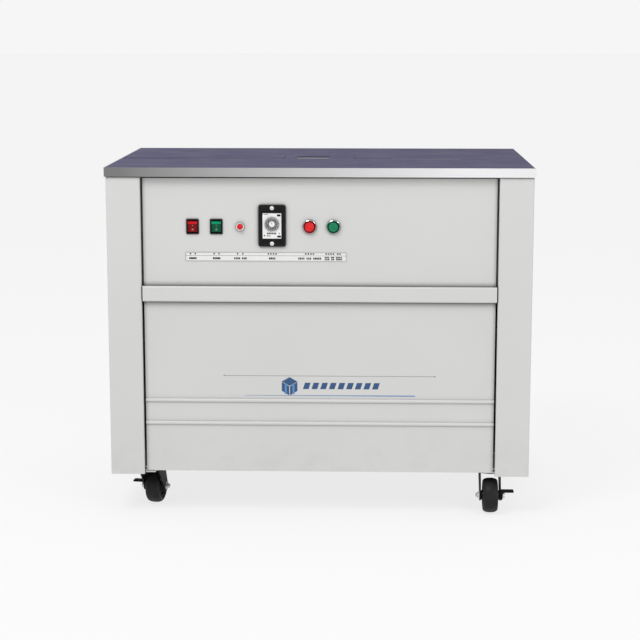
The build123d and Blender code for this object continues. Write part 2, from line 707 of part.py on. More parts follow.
with BuildPart() as bottom_tray:
    block(-FRAME_HALF_WIDTH, FRAME_HALF_WIDTH, -FRAME_HALF_DEPTH, FRAME_HALF_DEPTH, RAILS_TOP, TRAY_TOP)
keep(bottom_tray, "bottom_tray")

with BuildPart() as upper_frame:
    for side in (-1, 1):
        angle_along_x(-FRAME_HALF_WIDTH, FRAME_HALF_WIDTH, side * FRAME_HALF_DEPTH, CABINET_TOP, side)
        angle_along_y(-FRAME_HALF_DEPTH, FRAME_HALF_DEPTH, side * FRAME_HALF_WIDTH, CABINET_TOP, side)
        angle_along_y(-FRAME_HALF_DEPTH, FRAME_HALF_DEPTH, side * FRAME_HALF_WIDTH, DECK_LEVEL, side)
        for end in (-1, 1):
            post_x = end * FRAME_HALF_WIDTH
            post_y = side * FRAME_HALF_DEPTH
            in_x = post_x - end * ANGLE
            in_y = post_y - side * ANGLE
            wall_x = post_x - end * ANGLE_WALL
            wall_y = post_y - side * ANGLE_WALL
            block(min(post_x, in_x), max(post_x, in_x), min(post_y, wall_y), max(post_y, wall_y),
                  TRAY_TOP, CABINET_TOP)
            block(min(post_x, wall_x), max(post_x, wall_x), min(post_y, in_y), max(post_y, in_y),
                  TRAY_TOP, CABINET_TOP)
            rest_x = end * (FRAME_HALF_WIDTH - ANGLE / 2)
            rest_y = SLOT_Y + side * REST_OFFSET
            block(rest_x - ANGLE / 2, rest_x + ANGLE / 2, rest_y - REST_WIDTH / 2, rest_y + REST_WIDTH / 2,
                  CABINET_TOP - ANGLE_WALL, PAN_UNDERSIDE - REST_GAP)
keep(upper_frame, "upper_frame")

with BuildPart() as deck_plate:
    block(-FRAME_HALF_WIDTH + ANGLE_WALL, FRAME_HALF_WIDTH - ANGLE_WALL, -DECK_HALF_DEPTH, DECK_HALF_DEPTH,
          DECK_LEVEL, DECK_TOP)
    block(FOLLOWER_LEFT, FOLLOWER_RIGHT, SLOT_Y - FOLLOWER_HALF, SLOT_Y + FOLLOWER_HALF,
          DECK_LEVEL, DECK_TOP, Mode.SUBTRACT)
    for gate_x in (STRAP_X, LEFT_GUIDE_X):
        block(gate_x - GATE_HALF_X, gate_x + GATE_HALF_X, SLOT_Y - GATE_HALF_Y, SLOT_Y + GATE_HALF_Y,
              DECK_LEVEL, DECK_TOP, Mode.SUBTRACT)
keep(deck_plate, "deck_plate")

# ---------------------------------------------------------------- casters

CASTERS = {
    "front_left": (-CASTER_X, -CASTER_Y, 80.0),
    "front_right": (CASTER_X, -CASTER_Y, -90.0),
    "rear_left": (-CASTER_X, CASTER_Y, 90.0),
    "rear_right": (CASTER_X, CASTER_Y, 90.0),
}


def caster_plane(corner, height):
    """The plane of one caster at a height, with its X axis along the trail."""
    x, y, heading = CASTERS[corner]
    return Plane.XY.offset(height).move(Location((x, y, 0), (0, 0, heading)))


def axle_plane(corner):
    """The upright plane through one wheel, square to its axle."""
    x, y, heading = CASTERS[corner]
    reach = math.radians(heading)
    centre = (x + CASTER_TRAIL * math.cos(reach), y + CASTER_TRAIL * math.sin(reach), WHEEL_RADIUS)
    return Plane(origin=centre, x_dir=(math.cos(reach), math.sin(reach), 0),
                 z_dir=(math.sin(reach), -math.cos(reach), 0))


with BuildPart() as caster_plates:
    for corner in CASTERS:
        x, y, heading = CASTERS[corner]
        block(x - CASTER_PLATE_X / 2, x + CASTER_PLATE_X / 2, y - CASTER_PLATE_Y / 2,
              y + CASTER_PLATE_Y / 2, FRAME_BOTTOM - CASTER_PLATE, FRAME_BOTTOM)
        rod_z(x, y, SWIVEL_SEAT_RADIUS, CROWN_TOP + FIT_GAP, FRAME_BOTTOM - CASTER_PLATE)
        rod_z(x, y, KINGPIN_RADIUS, CROWN_TOP - CROWN_HEIGHT - FIT_GAP, FRAME_BOTTOM - CASTER_PLATE)
        rod_z(x, y, KINGPIN_HEAD_RADIUS, CROWN_TOP - CROWN_HEIGHT - FIT_GAP - KINGPIN_HEAD,
              CROWN_TOP - CROWN_HEIGHT - FIT_GAP)
keep(caster_plates, "caster_plates")


def caster_fork(corner):
    """A swivelling crown with two legs, the axle bolt and its nut."""
    leg_top = CROWN_TOP - WHEEL_RADIUS - CROWN_HEIGHT
    with BuildPart() as fork:
        with BuildSketch(caster_plane(corner, CROWN_TOP - CROWN_HEIGHT)):
            Circle(FORK_CROWN_RADIUS)
            Circle(KINGPIN_RADIUS + RUNNING_CLEARANCE, mode=Mode.SUBTRACT)
        extrude(amount=CROWN_HEIGHT)
        for side in (-1, 1):
            with BuildSketch(axle_plane(corner).offset(side * FORK_INSIDE / 2)):
                Circle(AXLE_BOSS_RADIUS)
                with Locations((-CASTER_TRAIL, leg_top + CROWN_HEIGHT / 2)):
                    Rectangle(LEG_TOP_WIDTH, CROWN_HEIGHT)
                make_hull()
            extrude(amount=side * FORK_SHEET)
        half_axle = FORK_INSIDE / 2 + FORK_SHEET + AXLE_END
        with BuildSketch(axle_plane(corner).offset(-half_axle)):
            Circle(AXLE_RADIUS)
        extrude(amount=2 * half_axle)
        with BuildSketch(axle_plane(corner).offset(-half_axle)):
            RegularPolygon(AXLE_NUT_RADIUS, 6)
        extrude(amount=AXLE_NUT_HEIGHT)
        with BuildSketch(axle_plane(corner).offset(FORK_INSIDE / 2 + FORK_SHEET)):
            RegularPolygon(AXLE_NUT_RADIUS, 6)
        extrude(amount=AXLE_NUT_HEIGHT)
    return fork


def caster_wheel(corner):
    """A moulded wheel with a rounded tread and a hub that fills the fork."""
    with BuildPart() as wheel:
        with BuildSketch(axle_plane(corner).offset(-WHEEL_WIDTH / 2)):
            Circle(WHEEL_RADIUS)
        extrude(amount=WHEEL_WIDTH)
        fillet(wheel.edges().filter_by(GeomType.CIRCLE), TREAD_ROUND)
        for side in (-1, 1):
            with BuildSketch(axle_plane(corner).offset(side * WHEEL_WIDTH / 2)):
                Circle(WHEEL_DISH_OUTER)
                Circle(HUB_RADIUS, mode=Mode.SUBTRACT)
            extrude(amount=-side * WHEEL_DISH_DEPTH, mode=Mode.SUBTRACT)
        half_hub = FORK_INSIDE / 2 - FIT_GAP
        with BuildSketch(axle_plane(corner).offset(-half_hub)):
            Circle(HUB_RADIUS)
        extrude(amount=2 * half_hub)
        with BuildSketch(axle_plane(corner).offset(-half_hub)):
            Circle(AXLE_RADIUS + RUNNING_CLEARANCE)
        extrude(amount=2 * half_hub, mode=Mode.SUBTRACT)
    return wheel


def brake_lever(corner):
    """A foot pedal that turns about the axle, outside one fork leg."""
    ring_at = -FORK_INSIDE / 2 - FORK_SHEET - FIT_GAP
    with BuildPart() as lever:
        with BuildSketch(axle_plane(corner).offset(ring_at)):
            Circle(LEVER_RING_RADIUS)
        extrude(amount=-LEVER_RING_WIDTH)
        with BuildSketch(axle_plane(corner).offset(ring_at)):
            with Locations((0, LEVER_PEDAL_LEVEL)):
                SlotOverall(LEVER_PEDAL_SPAN, LEVER_PEDAL_THICKNESS)
        extrude(amount=-LEVER_PEDAL_REACH)
        with BuildSketch(axle_plane(corner).offset(ring_at)):
            Circle(AXLE_RADIUS + RUNNING_CLEARANCE)
        extrude(amount=-LEVER_RING_WIDTH, mode=Mode.SUBTRACT)
    return lever


for corner in CASTERS:
    keep(caster_fork(corner), f"caster_fork_{corner}")
    keep(caster_wheel(corner), f"caster_wheel_{corner}")
for corner in ("front_left", "front_right"):
    keep(brake_lever(corner), f"caster_brake_{corner}")

# ---------------------------------------------------------------- controls

with BuildPart() as rocker_bezels:
    for rocker_x in ROCKER_XS:
        block(rocker_x - BEZEL_WIDTH / 2, rocker_x + BEZEL_WIDTH / 2, -PANEL_FACE - BEZEL_PROUD, -PANEL_FACE,
              CONTROL_LEVEL - BEZEL_HEIGHT / 2, CONTROL_LEVEL + BEZEL_HEIGHT / 2)
        block(rocker_x - ROCKER_BODY_HALF_WIDTH, rocker_x + ROCKER_BODY_HALF_WIDTH, -PANEL_FACE,
              -PANEL_FACE + ROCKER_BODY_DEPTH, CONTROL_LEVEL - ROCKER_BODY_HALF_HEIGHT,
              CONTROL_LEVEL + ROCKER_BODY_HALF_HEIGHT)
        block(rocker_x - ROCKER_WIDTH / 2 - ROCKER_GAP, rocker_x + ROCKER_WIDTH / 2 + ROCKER_GAP,
              -PANEL_FACE - BEZEL_PROUD, -PANEL_FACE + ROCKER_CAVITY,
              CONTROL_LEVEL - ROCKER_HEIGHT / 2 - ROCKER_GAP, CONTROL_LEVEL + ROCKER_HEIGHT / 2 + ROCKER_GAP,
              Mode.SUBTRACT)
keep(rocker_bezels, "rocker_bezels")


def rocker(rocker_x):
    """A rocker with a shallow V face, resting with its upper half out."""
    half = ROCKER_HEIGHT / 2 - ROCKER_GAP
    profile = [(-ROCKER_CREST, half), (-ROCKER_HOLLOW, 0), (-ROCKER_CREST, -half), (ROCKER_SHOULDER, -half),
               (ROCKER_KEEL, -ROCKER_KEEL_HALF), (ROCKER_KEEL, ROCKER_KEEL_HALF), (ROCKER_SHOULDER, half)]
    tilt = math.radians(ROCKER_TILT)
    tilted = Plane(origin=(rocker_x - ROCKER_WIDTH / 2, -PANEL_FACE + ROCKER_PIVOT_DEPTH, CONTROL_LEVEL),
                   x_dir=(0, math.cos(tilt), math.sin(tilt)), z_dir=(1, 0, 0))
    with BuildPart() as key:
        with BuildSketch(tilted):
            with BuildLine():
                Polyline(*profile, close=True)
            make_face()
        extrude(amount=ROCKER_WIDTH)
    return key


keep(rocker(ROCKER_XS[0]), "power_rocker")
keep(rocker(ROCKER_XS[1]), "motor_rocker")

with BuildPart() as button_rings:
    with BuildSketch(Plane.XZ.offset(PANEL_FACE)):
        with Locations((RESET_X, CONTROL_LEVEL)):
            RegularPolygon(RESET_NUT_RADIUS, 6)
    extrude(amount=RESET_NUT_HEIGHT)
    rod_y(RESET_X, CONTROL_LEVEL, RESET_THREAD_RADIUS, -PANEL_FACE, -PANEL_FACE + RESET_BODY_DEPTH)
    rod_y(RESET_X, CONTROL_LEVEL, RESET_CAP_RADIUS + FIT_GAP, -PANEL_FACE - RESET_NUT_HEIGHT,
          -PANEL_FACE + RESET_BODY_DEPTH - BARREL_FLOOR, Mode.SUBTRACT)
    for push_x in PUSH_XS:
        rod_y(push_x, CONTROL_LEVEL, PUSH_RING_RADIUS, -PANEL_FACE - PUSH_RING_PROUD, -PANEL_FACE)
        rod_y(push_x, CONTROL_LEVEL, PUSH_BARREL_RADIUS, -PANEL_FACE, -PANEL_FACE + PUSH_BODY_DEPTH)
        rod_y(push_x, CONTROL_LEVEL, PUSH_CAP_RADIUS + FIT_GAP, -PANEL_FACE - PUSH_RING_PROUD,
              -PANEL_FACE + PUSH_BODY_DEPTH - BARREL_FLOOR, Mode.SUBTRACT)
keep(button_rings, "button_rings")

with BuildPart() as reset_button:
    rod_y(RESET_X, CONTROL_LEVEL, RESET_CAP_RADIUS, -PANEL_FACE - RESET_CAP_PROUD, -PANEL_FACE + RESET_STEM)
    fillet(reset_button.edges().sort_by(Axis.Y)[0], CAP_ROUND)
keep(reset_button, "reset_button")


def push_button(push_x):
    """The cap of a push button, with its stem inside the barrel."""
    with BuildPart() as button:
        rod_y(push_x, CONTROL_LEVEL, PUSH_CAP_RADIUS, -PANEL_FACE - PUSH_CAP_PROUD, -PANEL_FACE + PUSH_STEM)
        fillet(button.edges().sort_by(Axis.Y)[0], CAP_ROUND)
    return button


keep(push_button(PUSH_XS[0]), "red_push_button")
keep(push_button(PUSH_XS[1]), "green_push_button")

with BuildPart() as timer_case:
    with BuildSketch(Plane.XZ.offset(PANEL_FACE)):
        with Locations((TIMER_X, TIMER_LEVEL)):
            RectangleRounded(TIMER_WIDTH, TIMER_HEIGHT, TIMER_CORNER)
    extrude(amount=TIMER_FRAME_PROUD)
    block(TIMER_X - TIMER_BODY_WIDTH / 2, TIMER_X + TIMER_BODY_WIDTH / 2, -PANEL_FACE - TIMER_FACE_PROUD,
          -PANEL_FACE + TIMER_BODY_DEPTH, TIMER_LEVEL - TIMER_BODY_HEIGHT / 2,
          TIMER_LEVEL + TIMER_BODY_HEIGHT / 2)
    rod_y(TIMER_X, TIMER_KNOB_LEVEL, TIMER_SPINDLE_RADIUS + RUNNING_CLEARANCE,
          -PANEL_FACE - TIMER_FACE_PROUD, -PANEL_FACE + TIMER_SPINDLE_DEPTH + BLIND_END, Mode.SUBTRACT)
keep(timer_case, "timer_case")

with BuildPart() as timer_knob:
    dial_back = -PANEL_FACE - TIMER_FACE_PROUD - FIT_GAP
    rod_y(TIMER_X, TIMER_KNOB_LEVEL, TIMER_DIAL_RADIUS, dial_back - TIMER_DIAL_THICKNESS, dial_back)
    rod_y(TIMER_X, TIMER_KNOB_LEVEL, TIMER_GRIP_RADIUS, dial_back - TIMER_GRIP_LENGTH, dial_back)
    rod_y(TIMER_X, TIMER_KNOB_LEVEL, TIMER_SPINDLE_RADIUS, dial_back, -PANEL_FACE + TIMER_SPINDLE_DEPTH)
keep(timer_knob, "timer_knob")

with BuildPart() as label_plate:
    block(LABEL_SPAN[0], LABEL_SPAN[1], -PANEL_FACE - LABEL_SHEET, -PANEL_FACE,
          CONTROL_LEVEL - LABEL_DROPS[0], CONTROL_LEVEL - LABEL_DROPS[1])
keep(label_plate, "label_plate")

# ---------------------------------------------------------------- sealing head

COVER_UNDERSIDE = TABLE_HEIGHT - COVER_SHEET
SLIDE_TOP = COVER_UNDERSIDE - FIT_GAP
SLIDE_BOTTOM = SLIDE_TOP - SLIDE_SHEET
SLIDE_BACK = SLOT_BACK + SLIDE_LENGTH
CHEEK_BACK = SLOT_BACK + CHEEK_LENGTH
BLOCK_FRONT = SLOT_FRONT - BLOCK_FRONT_WALL
BLOCK_BACK = SLOT_BACK + BLOCK_LENGTH
BLOCK_TOP = TABLE_HEIGHT - BLOCK_DROP
SHELF_BACK = SLOT_BACK + SHELF_LENGTH
HEATER_FRONT = SLOT_BACK + HEATER_SETBACK
HEATER_BACK = HEATER_FRONT + HEATER_LENGTH
BLADE_LEVEL = TABLE_HEIGHT - BLADE_DROP
GRIPPER_TOP = TABLE_HEIGHT - GRIPPER_DROP
PRESS_TOP = TABLE_HEIGHT - PRESS_DROP
FOLLOWER_AXLE = DECK_LEVEL - FOLLOWER_DROP + FOLLOWER_RADIUS
HEAD_FRONT = SLOT_FRONT + SEAM

with BuildPart() as head_cover:
    block(WINDOW_LEFT + SEAM, WINDOW_RIGHT - SEAM, HEAD_FRONT, WINDOW_BACK - SEAM,
          COVER_UNDERSIDE, TABLE_HEIGHT)
    block(HEAD_LEFT + SEAM, HEAD_RIGHT - SEAM, HEAD_FRONT, SLIDE_BACK - COVER_LAP,
          COVER_UNDERSIDE, TABLE_HEIGHT, Mode.SUBTRACT)
keep(head_cover, "head_cover")

with BuildPart() as slide_plate:
    block(HEAD_LEFT + SLIDE_SIDE_GAP, HEAD_RIGHT - SLIDE_SIDE_GAP, HEAD_FRONT, SLIDE_BACK,
          SLIDE_BOTTOM, SLIDE_TOP)
keep(slide_plate, "slide_plate")

# Left gripper, centre press and right gripper: the span of each along X
PLUNGERS = {
    "left_gripper": (-58.0, -40.0, GRIPPER_TOP),
    "centre_press": (-36.0, -14.0, PRESS_TOP),
    "right_gripper": (-10.0, 10.0, GRIPPER_TOP),
}
PLUNGER_BACK = HEAD_FRONT + PLUNGER_DEPTH

with BuildPart() as head_block:
    block(BLOCK_LEFT, BLOCK_RIGHT, BLOCK_FRONT, BLOCK_BACK, DECK_TOP, BLOCK_TOP)
    block(HEATER_LEFT - HEATER_SHELF_MARGIN, HEATER_RIGHT + HEATER_SHELF_MARGIN, BLOCK_BACK, SHELF_BACK,
          BLOCK_TOP - SHELF_THICKNESS, BLOCK_TOP)
    for wall_x in (HEATER_LEFT - FIT_GAP - HEATER_WALL, HEATER_RIGHT + FIT_GAP):
        block(wall_x, wall_x + HEATER_WALL, PLUNGER_BACK + HEATER_WALL, SHELF_BACK,
              BLOCK_TOP, BLOCK_TOP + HEATER_WALL_HEIGHT)
    for cheek_x, ledge in ((HEAD_LEFT - CHEEK, CHEEK), (HEAD_RIGHT, -LEDGE)):
        block(cheek_x, cheek_x + CHEEK, HEAD_FRONT, CHEEK_BACK,
              BLOCK_TOP - SHELF_THICKNESS, COVER_UNDERSIDE)
        block(cheek_x + ledge, cheek_x + ledge + LEDGE, HEAD_FRONT, CHEEK_BACK,
              SLIDE_BOTTOM - FIT_GAP - CHEEK, SLIDE_BOTTOM - FIT_GAP)
    for label in PLUNGERS:
        left, right, top = PLUNGERS[label]
        block(left - FIT_GAP, right + FIT_GAP, HEAD_FRONT - FIT_GAP, PLUNGER_BACK + FIT_GAP,
              DECK_TOP, BLOCK_TOP, Mode.SUBTRACT)
keep(head_block, "head_block")


def plunger(label):
    """An upright slide with a cam follower at its foot and a ribbed top."""
    left, right, top = PLUNGERS[label]
    middle = (left + right) / 2
    with BuildPart() as slide:
        block(left, right, HEAD_FRONT, PLUNGER_BACK, FOLLOWER_AXLE, top)
        rod_x(SLOT_Y, FOLLOWER_AXLE, FOLLOWER_RADIUS, middle - FOLLOWER_HALF_WIDTH,
              middle + FOLLOWER_HALF_WIDTH)
        for step in range(RIB_COUNT):
            rib_x = left + RIB_MARGIN + step * (right - left - 2 * RIB_MARGIN) / (RIB_COUNT - 1)
            block(rib_x - RIB_WIDTH / 2, rib_x + RIB_WIDTH / 2, HEAD_FRONT, PLUNGER_BACK,
                  top - RIB_DEPTH, top, Mode.SUBTRACT)
    return slide


for label in PLUNGERS:
    keep(plunger(label), label)

with BuildPart() as heater_slide:
    block(HEATER_LEFT, HEATER_RIGHT, HEATER_FRONT, HEATER_BACK, BLOCK_TOP + FIT_GAP, BLADE_LEVEL)
    block(HEATER_LEFT + BLADE_MARGIN, HEATER_RIGHT - BLADE_MARGIN,
          HEATER_FRONT - BLADE_REACH, HEATER_FRONT + BLADE_ROOT,
          BLADE_LEVEL, BLADE_LEVEL + BLADE_SHEET)
keep(heater_slide, "heater_slide")

with BuildPart() as strap_channel:
    channel_left = -FRAME_HALF_WIDTH + ANGLE
    channel_wall = SLOT_WIDTH / 2 + CHANNEL_MARGIN
    block(channel_left, BLOCK_LEFT, SLOT_Y - channel_wall, SLOT_Y + channel_wall,
          CABINET_TOP - CHANNEL_DEPTH, CABINET_TOP)
    block(channel_left, BLOCK_LEFT, SLOT_Y - channel_wall + SHEET, SLOT_Y + channel_wall - SHEET,
          CABINET_TOP - CHANNEL_DEPTH + SHEET, CABINET_TOP, Mode.SUBTRACT)
keep(strap_channel, "strap_channel")

# ---------------------------------------------------------------- drive

with BuildPart() as camshaft:
    rod_x(SLOT_Y, CAMSHAFT_Z, CAMSHAFT_RADIUS, CAMSHAFT_LEFT, GEARBOX_LEFT + CAMSHAFT_ENTRY)
    for turn, label in enumerate(PLUNGERS):
        left, right, top = PLUNGERS[label]
        middle = (left + right) / 2
        angle = math.radians(90 + 360 / len(PLUNGERS) * turn)
        rod_x(SLOT_Y + CAM_THROW * math.cos(angle), CAMSHAFT_Z + CAM_THROW * math.sin(angle),
              CAM_RADIUS, middle - CAM_HALF_WIDTH, middle + CAM_HALF_WIDTH)
keep(camshaft, "camshaft")

with BuildPart() as deck_brackets:
    for bearing_x in BEARING_XS:
        near = bearing_x - BEARING_HALF_WIDTH
        far = bearing_x + BEARING_HALF_WIDTH
        block(near, far, SLOT_Y - BEARING_HALF_DEPTH, SLOT_Y + BEARING_HALF_DEPTH,
              CAMSHAFT_Z - BEARING_UNDER_SHAFT, DECK_LEVEL)
        rod_x(SLOT_Y, CAMSHAFT_Z, CAMSHAFT_RADIUS + RUNNING_CLEARANCE, near, far, Mode.SUBTRACT)
    block(FEED_PLATE_LEFT, FEED_PLATE_RIGHT, FEED_PLATE_Y, FEED_PLATE_Y + FEED_PLATE, DECK_TOP,
          FEED_Z + FEED_PLATE_RISE)
    block(FEED_PLATE_LEFT, FEED_PLATE_RIGHT, FEED_PLATE_Y, FEED_PLATE_Y + FEED_FOOT, DECK_TOP,
          DECK_TOP + FEED_FOOT_SHEET)
    for roller_x in (FEED_X, PINCH_X):
        rod_y(roller_x, FEED_Z, ROLLER_PIN_RADIUS, ROLLER_FRONT - PIN_NOSE, FEED_PLATE_Y)
    bracket_y = ARM_PLATE_Y + ARM_PLATE + FIT_GAP
    block(ARM_PIVOT_X - ARM_BRACKET_HALF, ARM_PIVOT_X + ARM_BRACKET_HALF, bracket_y, bracket_y + ARM_BRACKET,
          ARM_PIVOT_Z - ARM_BRACKET_HALF, DECK_LEVEL)
    rod_y(ARM_PIVOT_X, ARM_PIVOT_Z, ROLLER_PIN_RADIUS, ARM_PLATE_Y - PIN_NOSE, bracket_y + ARM_BRACKET)
keep(deck_brackets, "deck_brackets")


def roller(roller_x, radius):
    """A roller that turns on a fixed pin, with bevelled rims."""
    with BuildPart() as wheel:
        rod_y(roller_x, FEED_Z, radius, ROLLER_FRONT, ROLLER_BACK)
        chamfer(wheel.edges().filter_by(GeomType.CIRCLE), ROLLER_CHAMFER)
        rod_y(roller_x, FEED_Z, ROLLER_PIN_RADIUS + RUNNING_CLEARANCE, ROLLER_FRONT, ROLLER_BACK,
              Mode.SUBTRACT)
    return wheel


keep(roller(FEED_X, FEED_RADIUS), "feed_roller")
keep(roller(PINCH_X, PINCH_RADIUS), "pinch_roller")

with BuildPart() as tension_arm:
    arm_end_x = ARM_PIVOT_X + ARM_LENGTH
    with BuildSketch(Plane.XZ.offset(-ARM_PLATE_Y - ARM_PLATE)):
        with Locations(((ARM_PIVOT_X + arm_end_x) / 2, ARM_PIVOT_Z)):
            SlotCenterToCenter(ARM_LENGTH, ARM_WIDTH)
        with Locations((ARM_PIVOT_X, ARM_PIVOT_Z)):
            Circle(ROLLER_PIN_RADIUS + RUNNING_CLEARANCE, mode=Mode.SUBTRACT)
    extrude(amount=ARM_PLATE)
    rod_y(arm_end_x, ARM_PIVOT_Z, ARM_ROLLER_RADIUS, ARM_PLATE_Y - ROLLER_WIDTH, ARM_PLATE_Y)
keep(tension_arm, "tension_arm")

with BuildPart() as gearbox:
    block(GEARBOX_LEFT, GEARBOX_RIGHT, GEARBOX_FRONT, GEARBOX_BACK, GEARBOX_BOTTOM, DECK_LEVEL)
    fillet(gearbox.edges().filter_by(Axis.Y), GEARBOX_ROUND)
    rod_x(SLOT_Y, CAMSHAFT_Z, CAMSHAFT_RADIUS + SPIGOT_WALL, GEARBOX_LEFT - GEARBOX_SPIGOT, GEARBOX_LEFT)
    rod_x(SLOT_Y, CAMSHAFT_Z, CAMSHAFT_RADIUS + RUNNING_CLEARANCE, GEARBOX_LEFT - GEARBOX_SPIGOT,
          GEARBOX_LEFT + CAMSHAFT_ENTRY + BLIND_END, Mode.SUBTRACT)
    rod_y(WORM_X, WORM_Z, WORM_SHAFT_RADIUS + RUNNING_CLEARANCE, GEARBOX_FRONT,
          GEARBOX_FRONT + SHAFT_ENTRY + BLIND_END, Mode.SUBTRACT)
keep(gearbox, "gearbox")


def belt_pulley(x, z, radius, shaft_radius, shaft_end):
    """A grooved pulley on its shaft."""
    with BuildPart() as pulley:
        rod_y(x, z, radius, BELT_Y - PULLEY_WIDTH / 2, BELT_Y + PULLEY_WIDTH / 2)
        with BuildSketch(Plane.XZ.offset(-BELT_Y - GROOVE_WIDTH / 2)):
            with Locations((x, z)):
                Circle(radius)
                Circle(radius - GROOVE_DEPTH, mode=Mode.SUBTRACT)
        extrude(amount=GROOVE_WIDTH, mode=Mode.SUBTRACT)
        rod_y(x, z, shaft_radius, BELT_Y - PULLEY_WIDTH / 2 - SHAFT_NOSE, shaft_end)
    return pulley


keep(belt_pulley(MOTOR_X, MOTOR_Z, MOTOR_PULLEY_RADIUS, MOTOR_SHAFT_RADIUS, MOTOR_FRONT + SHAFT_ENTRY),
     "motor_pulley")
keep(belt_pulley(WORM_X, WORM_Z, WORM_PULLEY_RADIUS, WORM_SHAFT_RADIUS, GEARBOX_FRONT + SHAFT_ENTRY),
     "gearbox_pulley")


def belt_loop(grow):
    """The outline of the belt, grown by an amount from its inner face."""
    with Locations((MOTOR_X, MOTOR_Z)):
        Circle(MOTOR_PULLEY_RADIUS - GROOVE_DEPTH + FIT_GAP + grow)
    with Locations((WORM_X, WORM_Z)):
        Circle(WORM_PULLEY_RADIUS - GROOVE_DEPTH + FIT_GAP + grow)
    make_hull()


with BuildPart() as drive_belt:
    with BuildSketch(Plane.XZ.offset(-BELT_Y - BELT_WIDTH / 2)):
        belt_loop(BELT_THICKNESS)
    extrude(amount=BELT_WIDTH)
    with BuildSketch(Plane.XZ.offset(-BELT_Y - BELT_WIDTH / 2)):
        belt_loop(0)
    extrude(amount=BELT_WIDTH, mode=Mode.SUBTRACT)
keep(drive_belt, "drive_belt")

with BuildPart() as motor:
    rod_y(MOTOR_X, MOTOR_Z, MOTOR_RADIUS, MOTOR_FRONT, MOTOR_BACK)
    for fin in range(MOTOR_FINS):
        fin_plane = Plane(origin=(MOTOR_X, MOTOR_FRONT + FIN_SETBACK, MOTOR_Z), z_dir=(0, 1, 0))
        with BuildSketch(fin_plane):
            with PolarLocations(MOTOR_RADIUS + FIN_SINK, 1, start_angle=fin * 360 / MOTOR_FINS):
                Rectangle(FIN_HEIGHT, FIN_WIDTH)
        extrude(amount=MOTOR_LENGTH - 2 * FIN_SETBACK)
    foot_front = MOTOR_FRONT + FOOT_SETBACK
    foot_back = MOTOR_BACK - FOOT_SETBACK
    block(MOTOR_X - MOTOR_RADIUS, MOTOR_X + MOTOR_RADIUS, foot_front, foot_back,
          TRAY_TOP, TRAY_TOP + FOOT_SHEET)
    block(MOTOR_X - MOTOR_RADIUS / 2, MOTOR_X + MOTOR_RADIUS / 2, foot_front, foot_back, TRAY_TOP, MOTOR_Z)
    block(MOTOR_X - TERMINAL_HALF_WIDTH, MOTOR_X + TERMINAL_HALF_WIDTH, MOTOR_FRONT + TERMINAL_SETBACK,
          MOTOR_BACK - TERMINAL_SETBACK, MOTOR_Z, MOTOR_Z + MOTOR_RADIUS + TERMINAL_RISE)
    rod_y(MOTOR_X, MOTOR_Z, MOTOR_SHAFT_RADIUS + RUNNING_CLEARANCE, MOTOR_FRONT,
          MOTOR_FRONT + SHAFT_ENTRY + BLIND_END, Mode.SUBTRACT)
keep(motor, "motor")

# ---------------------------------------------------------------- strap reel

REEL_FRONT = SLOT_Y - REEL_WIDTH / 2
REEL_BACK = SLOT_Y + REEL_WIDTH / 2

with BuildPart() as reel_core:
    rod_y(REEL_X, REEL_Z, REEL_DRUM_RADIUS, REEL_FRONT, REEL_BACK)
    rod_y(REEL_X, REEL_Z, REEL_DRUM_RADIUS - REEL_DRUM_WALL, REEL_FRONT, REEL_BACK - REEL_DRUM_BACK,
          Mode.SUBTRACT)
    rod_y(REEL_X, REEL_Z, REEL_HUB_RADIUS, REEL_FRONT, REEL_BACK)
    rod_y(REEL_X, REEL_Z, REEL_FLANGE_RADIUS, REEL_BACK, REEL_BACK + REEL_FLANGE)
    rod_y(REEL_X, REEL_Z, REEL_SHAFT_RADIUS + RUNNING_CLEARANCE, REEL_FRONT, REEL_BACK + REEL_FLANGE,
          Mode.SUBTRACT)
    with BuildSketch(Plane.XZ.offset(-REEL_BACK)):
        with Locations((REEL_X, REEL_Z)):
            with PolarLocations(REEL_HOLE_CIRCLE, REEL_HOLES):
                Circle(REEL_HOLE_RADIUS)
    extrude(amount=-REEL_FLANGE, mode=Mode.SUBTRACT)
keep(reel_core, "reel_core")

with BuildPart() as reel_front_flange:
    rod_y(REEL_X, REEL_Z, REEL_FLANGE_RADIUS, REEL_FRONT - REEL_FLANGE, REEL_FRONT)
    rod_y(REEL_X, REEL_Z, REEL_HUB_RADIUS + REEL_BOSS_WALL, REEL_FRONT - REEL_BOSS, REEL_FRONT)
    rod_y(REEL_X, REEL_Z, REEL_SHAFT_RADIUS + RUNNING_CLEARANCE, REEL_FRONT - REEL_BOSS, REEL_FRONT,
          Mode.SUBTRACT)
    with BuildSketch(Plane.XZ.offset(-REEL_FRONT)):
        with Locations((REEL_X, REEL_Z)):
            with PolarLocations(REEL_HOLE_CIRCLE, REEL_HOLES):
                Circle(REEL_HOLE_RADIUS)
    extrude(amount=REEL_FLANGE, mode=Mode.SUBTRACT)
keep(reel_front_flange, "reel_front_flange")

with BuildPart() as reel_stand:
    stand_y = REEL_BACK + REEL_FLANGE + STAND_GAP
    axle_front = REEL_FRONT - REEL_BOSS - COLLAR_WIDTH
    rod_y(REEL_X, REEL_Z, REEL_SHAFT_RADIUS, axle_front, stand_y + STAND_SHEET)
    rod_y(REEL_X, REEL_Z, REEL_SHAFT_RADIUS + COLLAR_WALL, axle_front, REEL_FRONT - REEL_BOSS - FIT_GAP)
    block(REEL_X - STAND_HALF_WIDTH, REEL_X + STAND_HALF_WIDTH, stand_y, stand_y + STAND_SHEET, TRAY_TOP,
          REEL_Z + STAND_OVER_AXLE)
    block(REEL_X - STAND_HALF_WIDTH, REEL_X + STAND_HALF_WIDTH, stand_y, stand_y + STAND_FOOT, TRAY_TOP,
          TRAY_TOP + STAND_SHEET)
keep(reel_stand, "reel_stand")

# ---------------------------------------------------------------- electrics

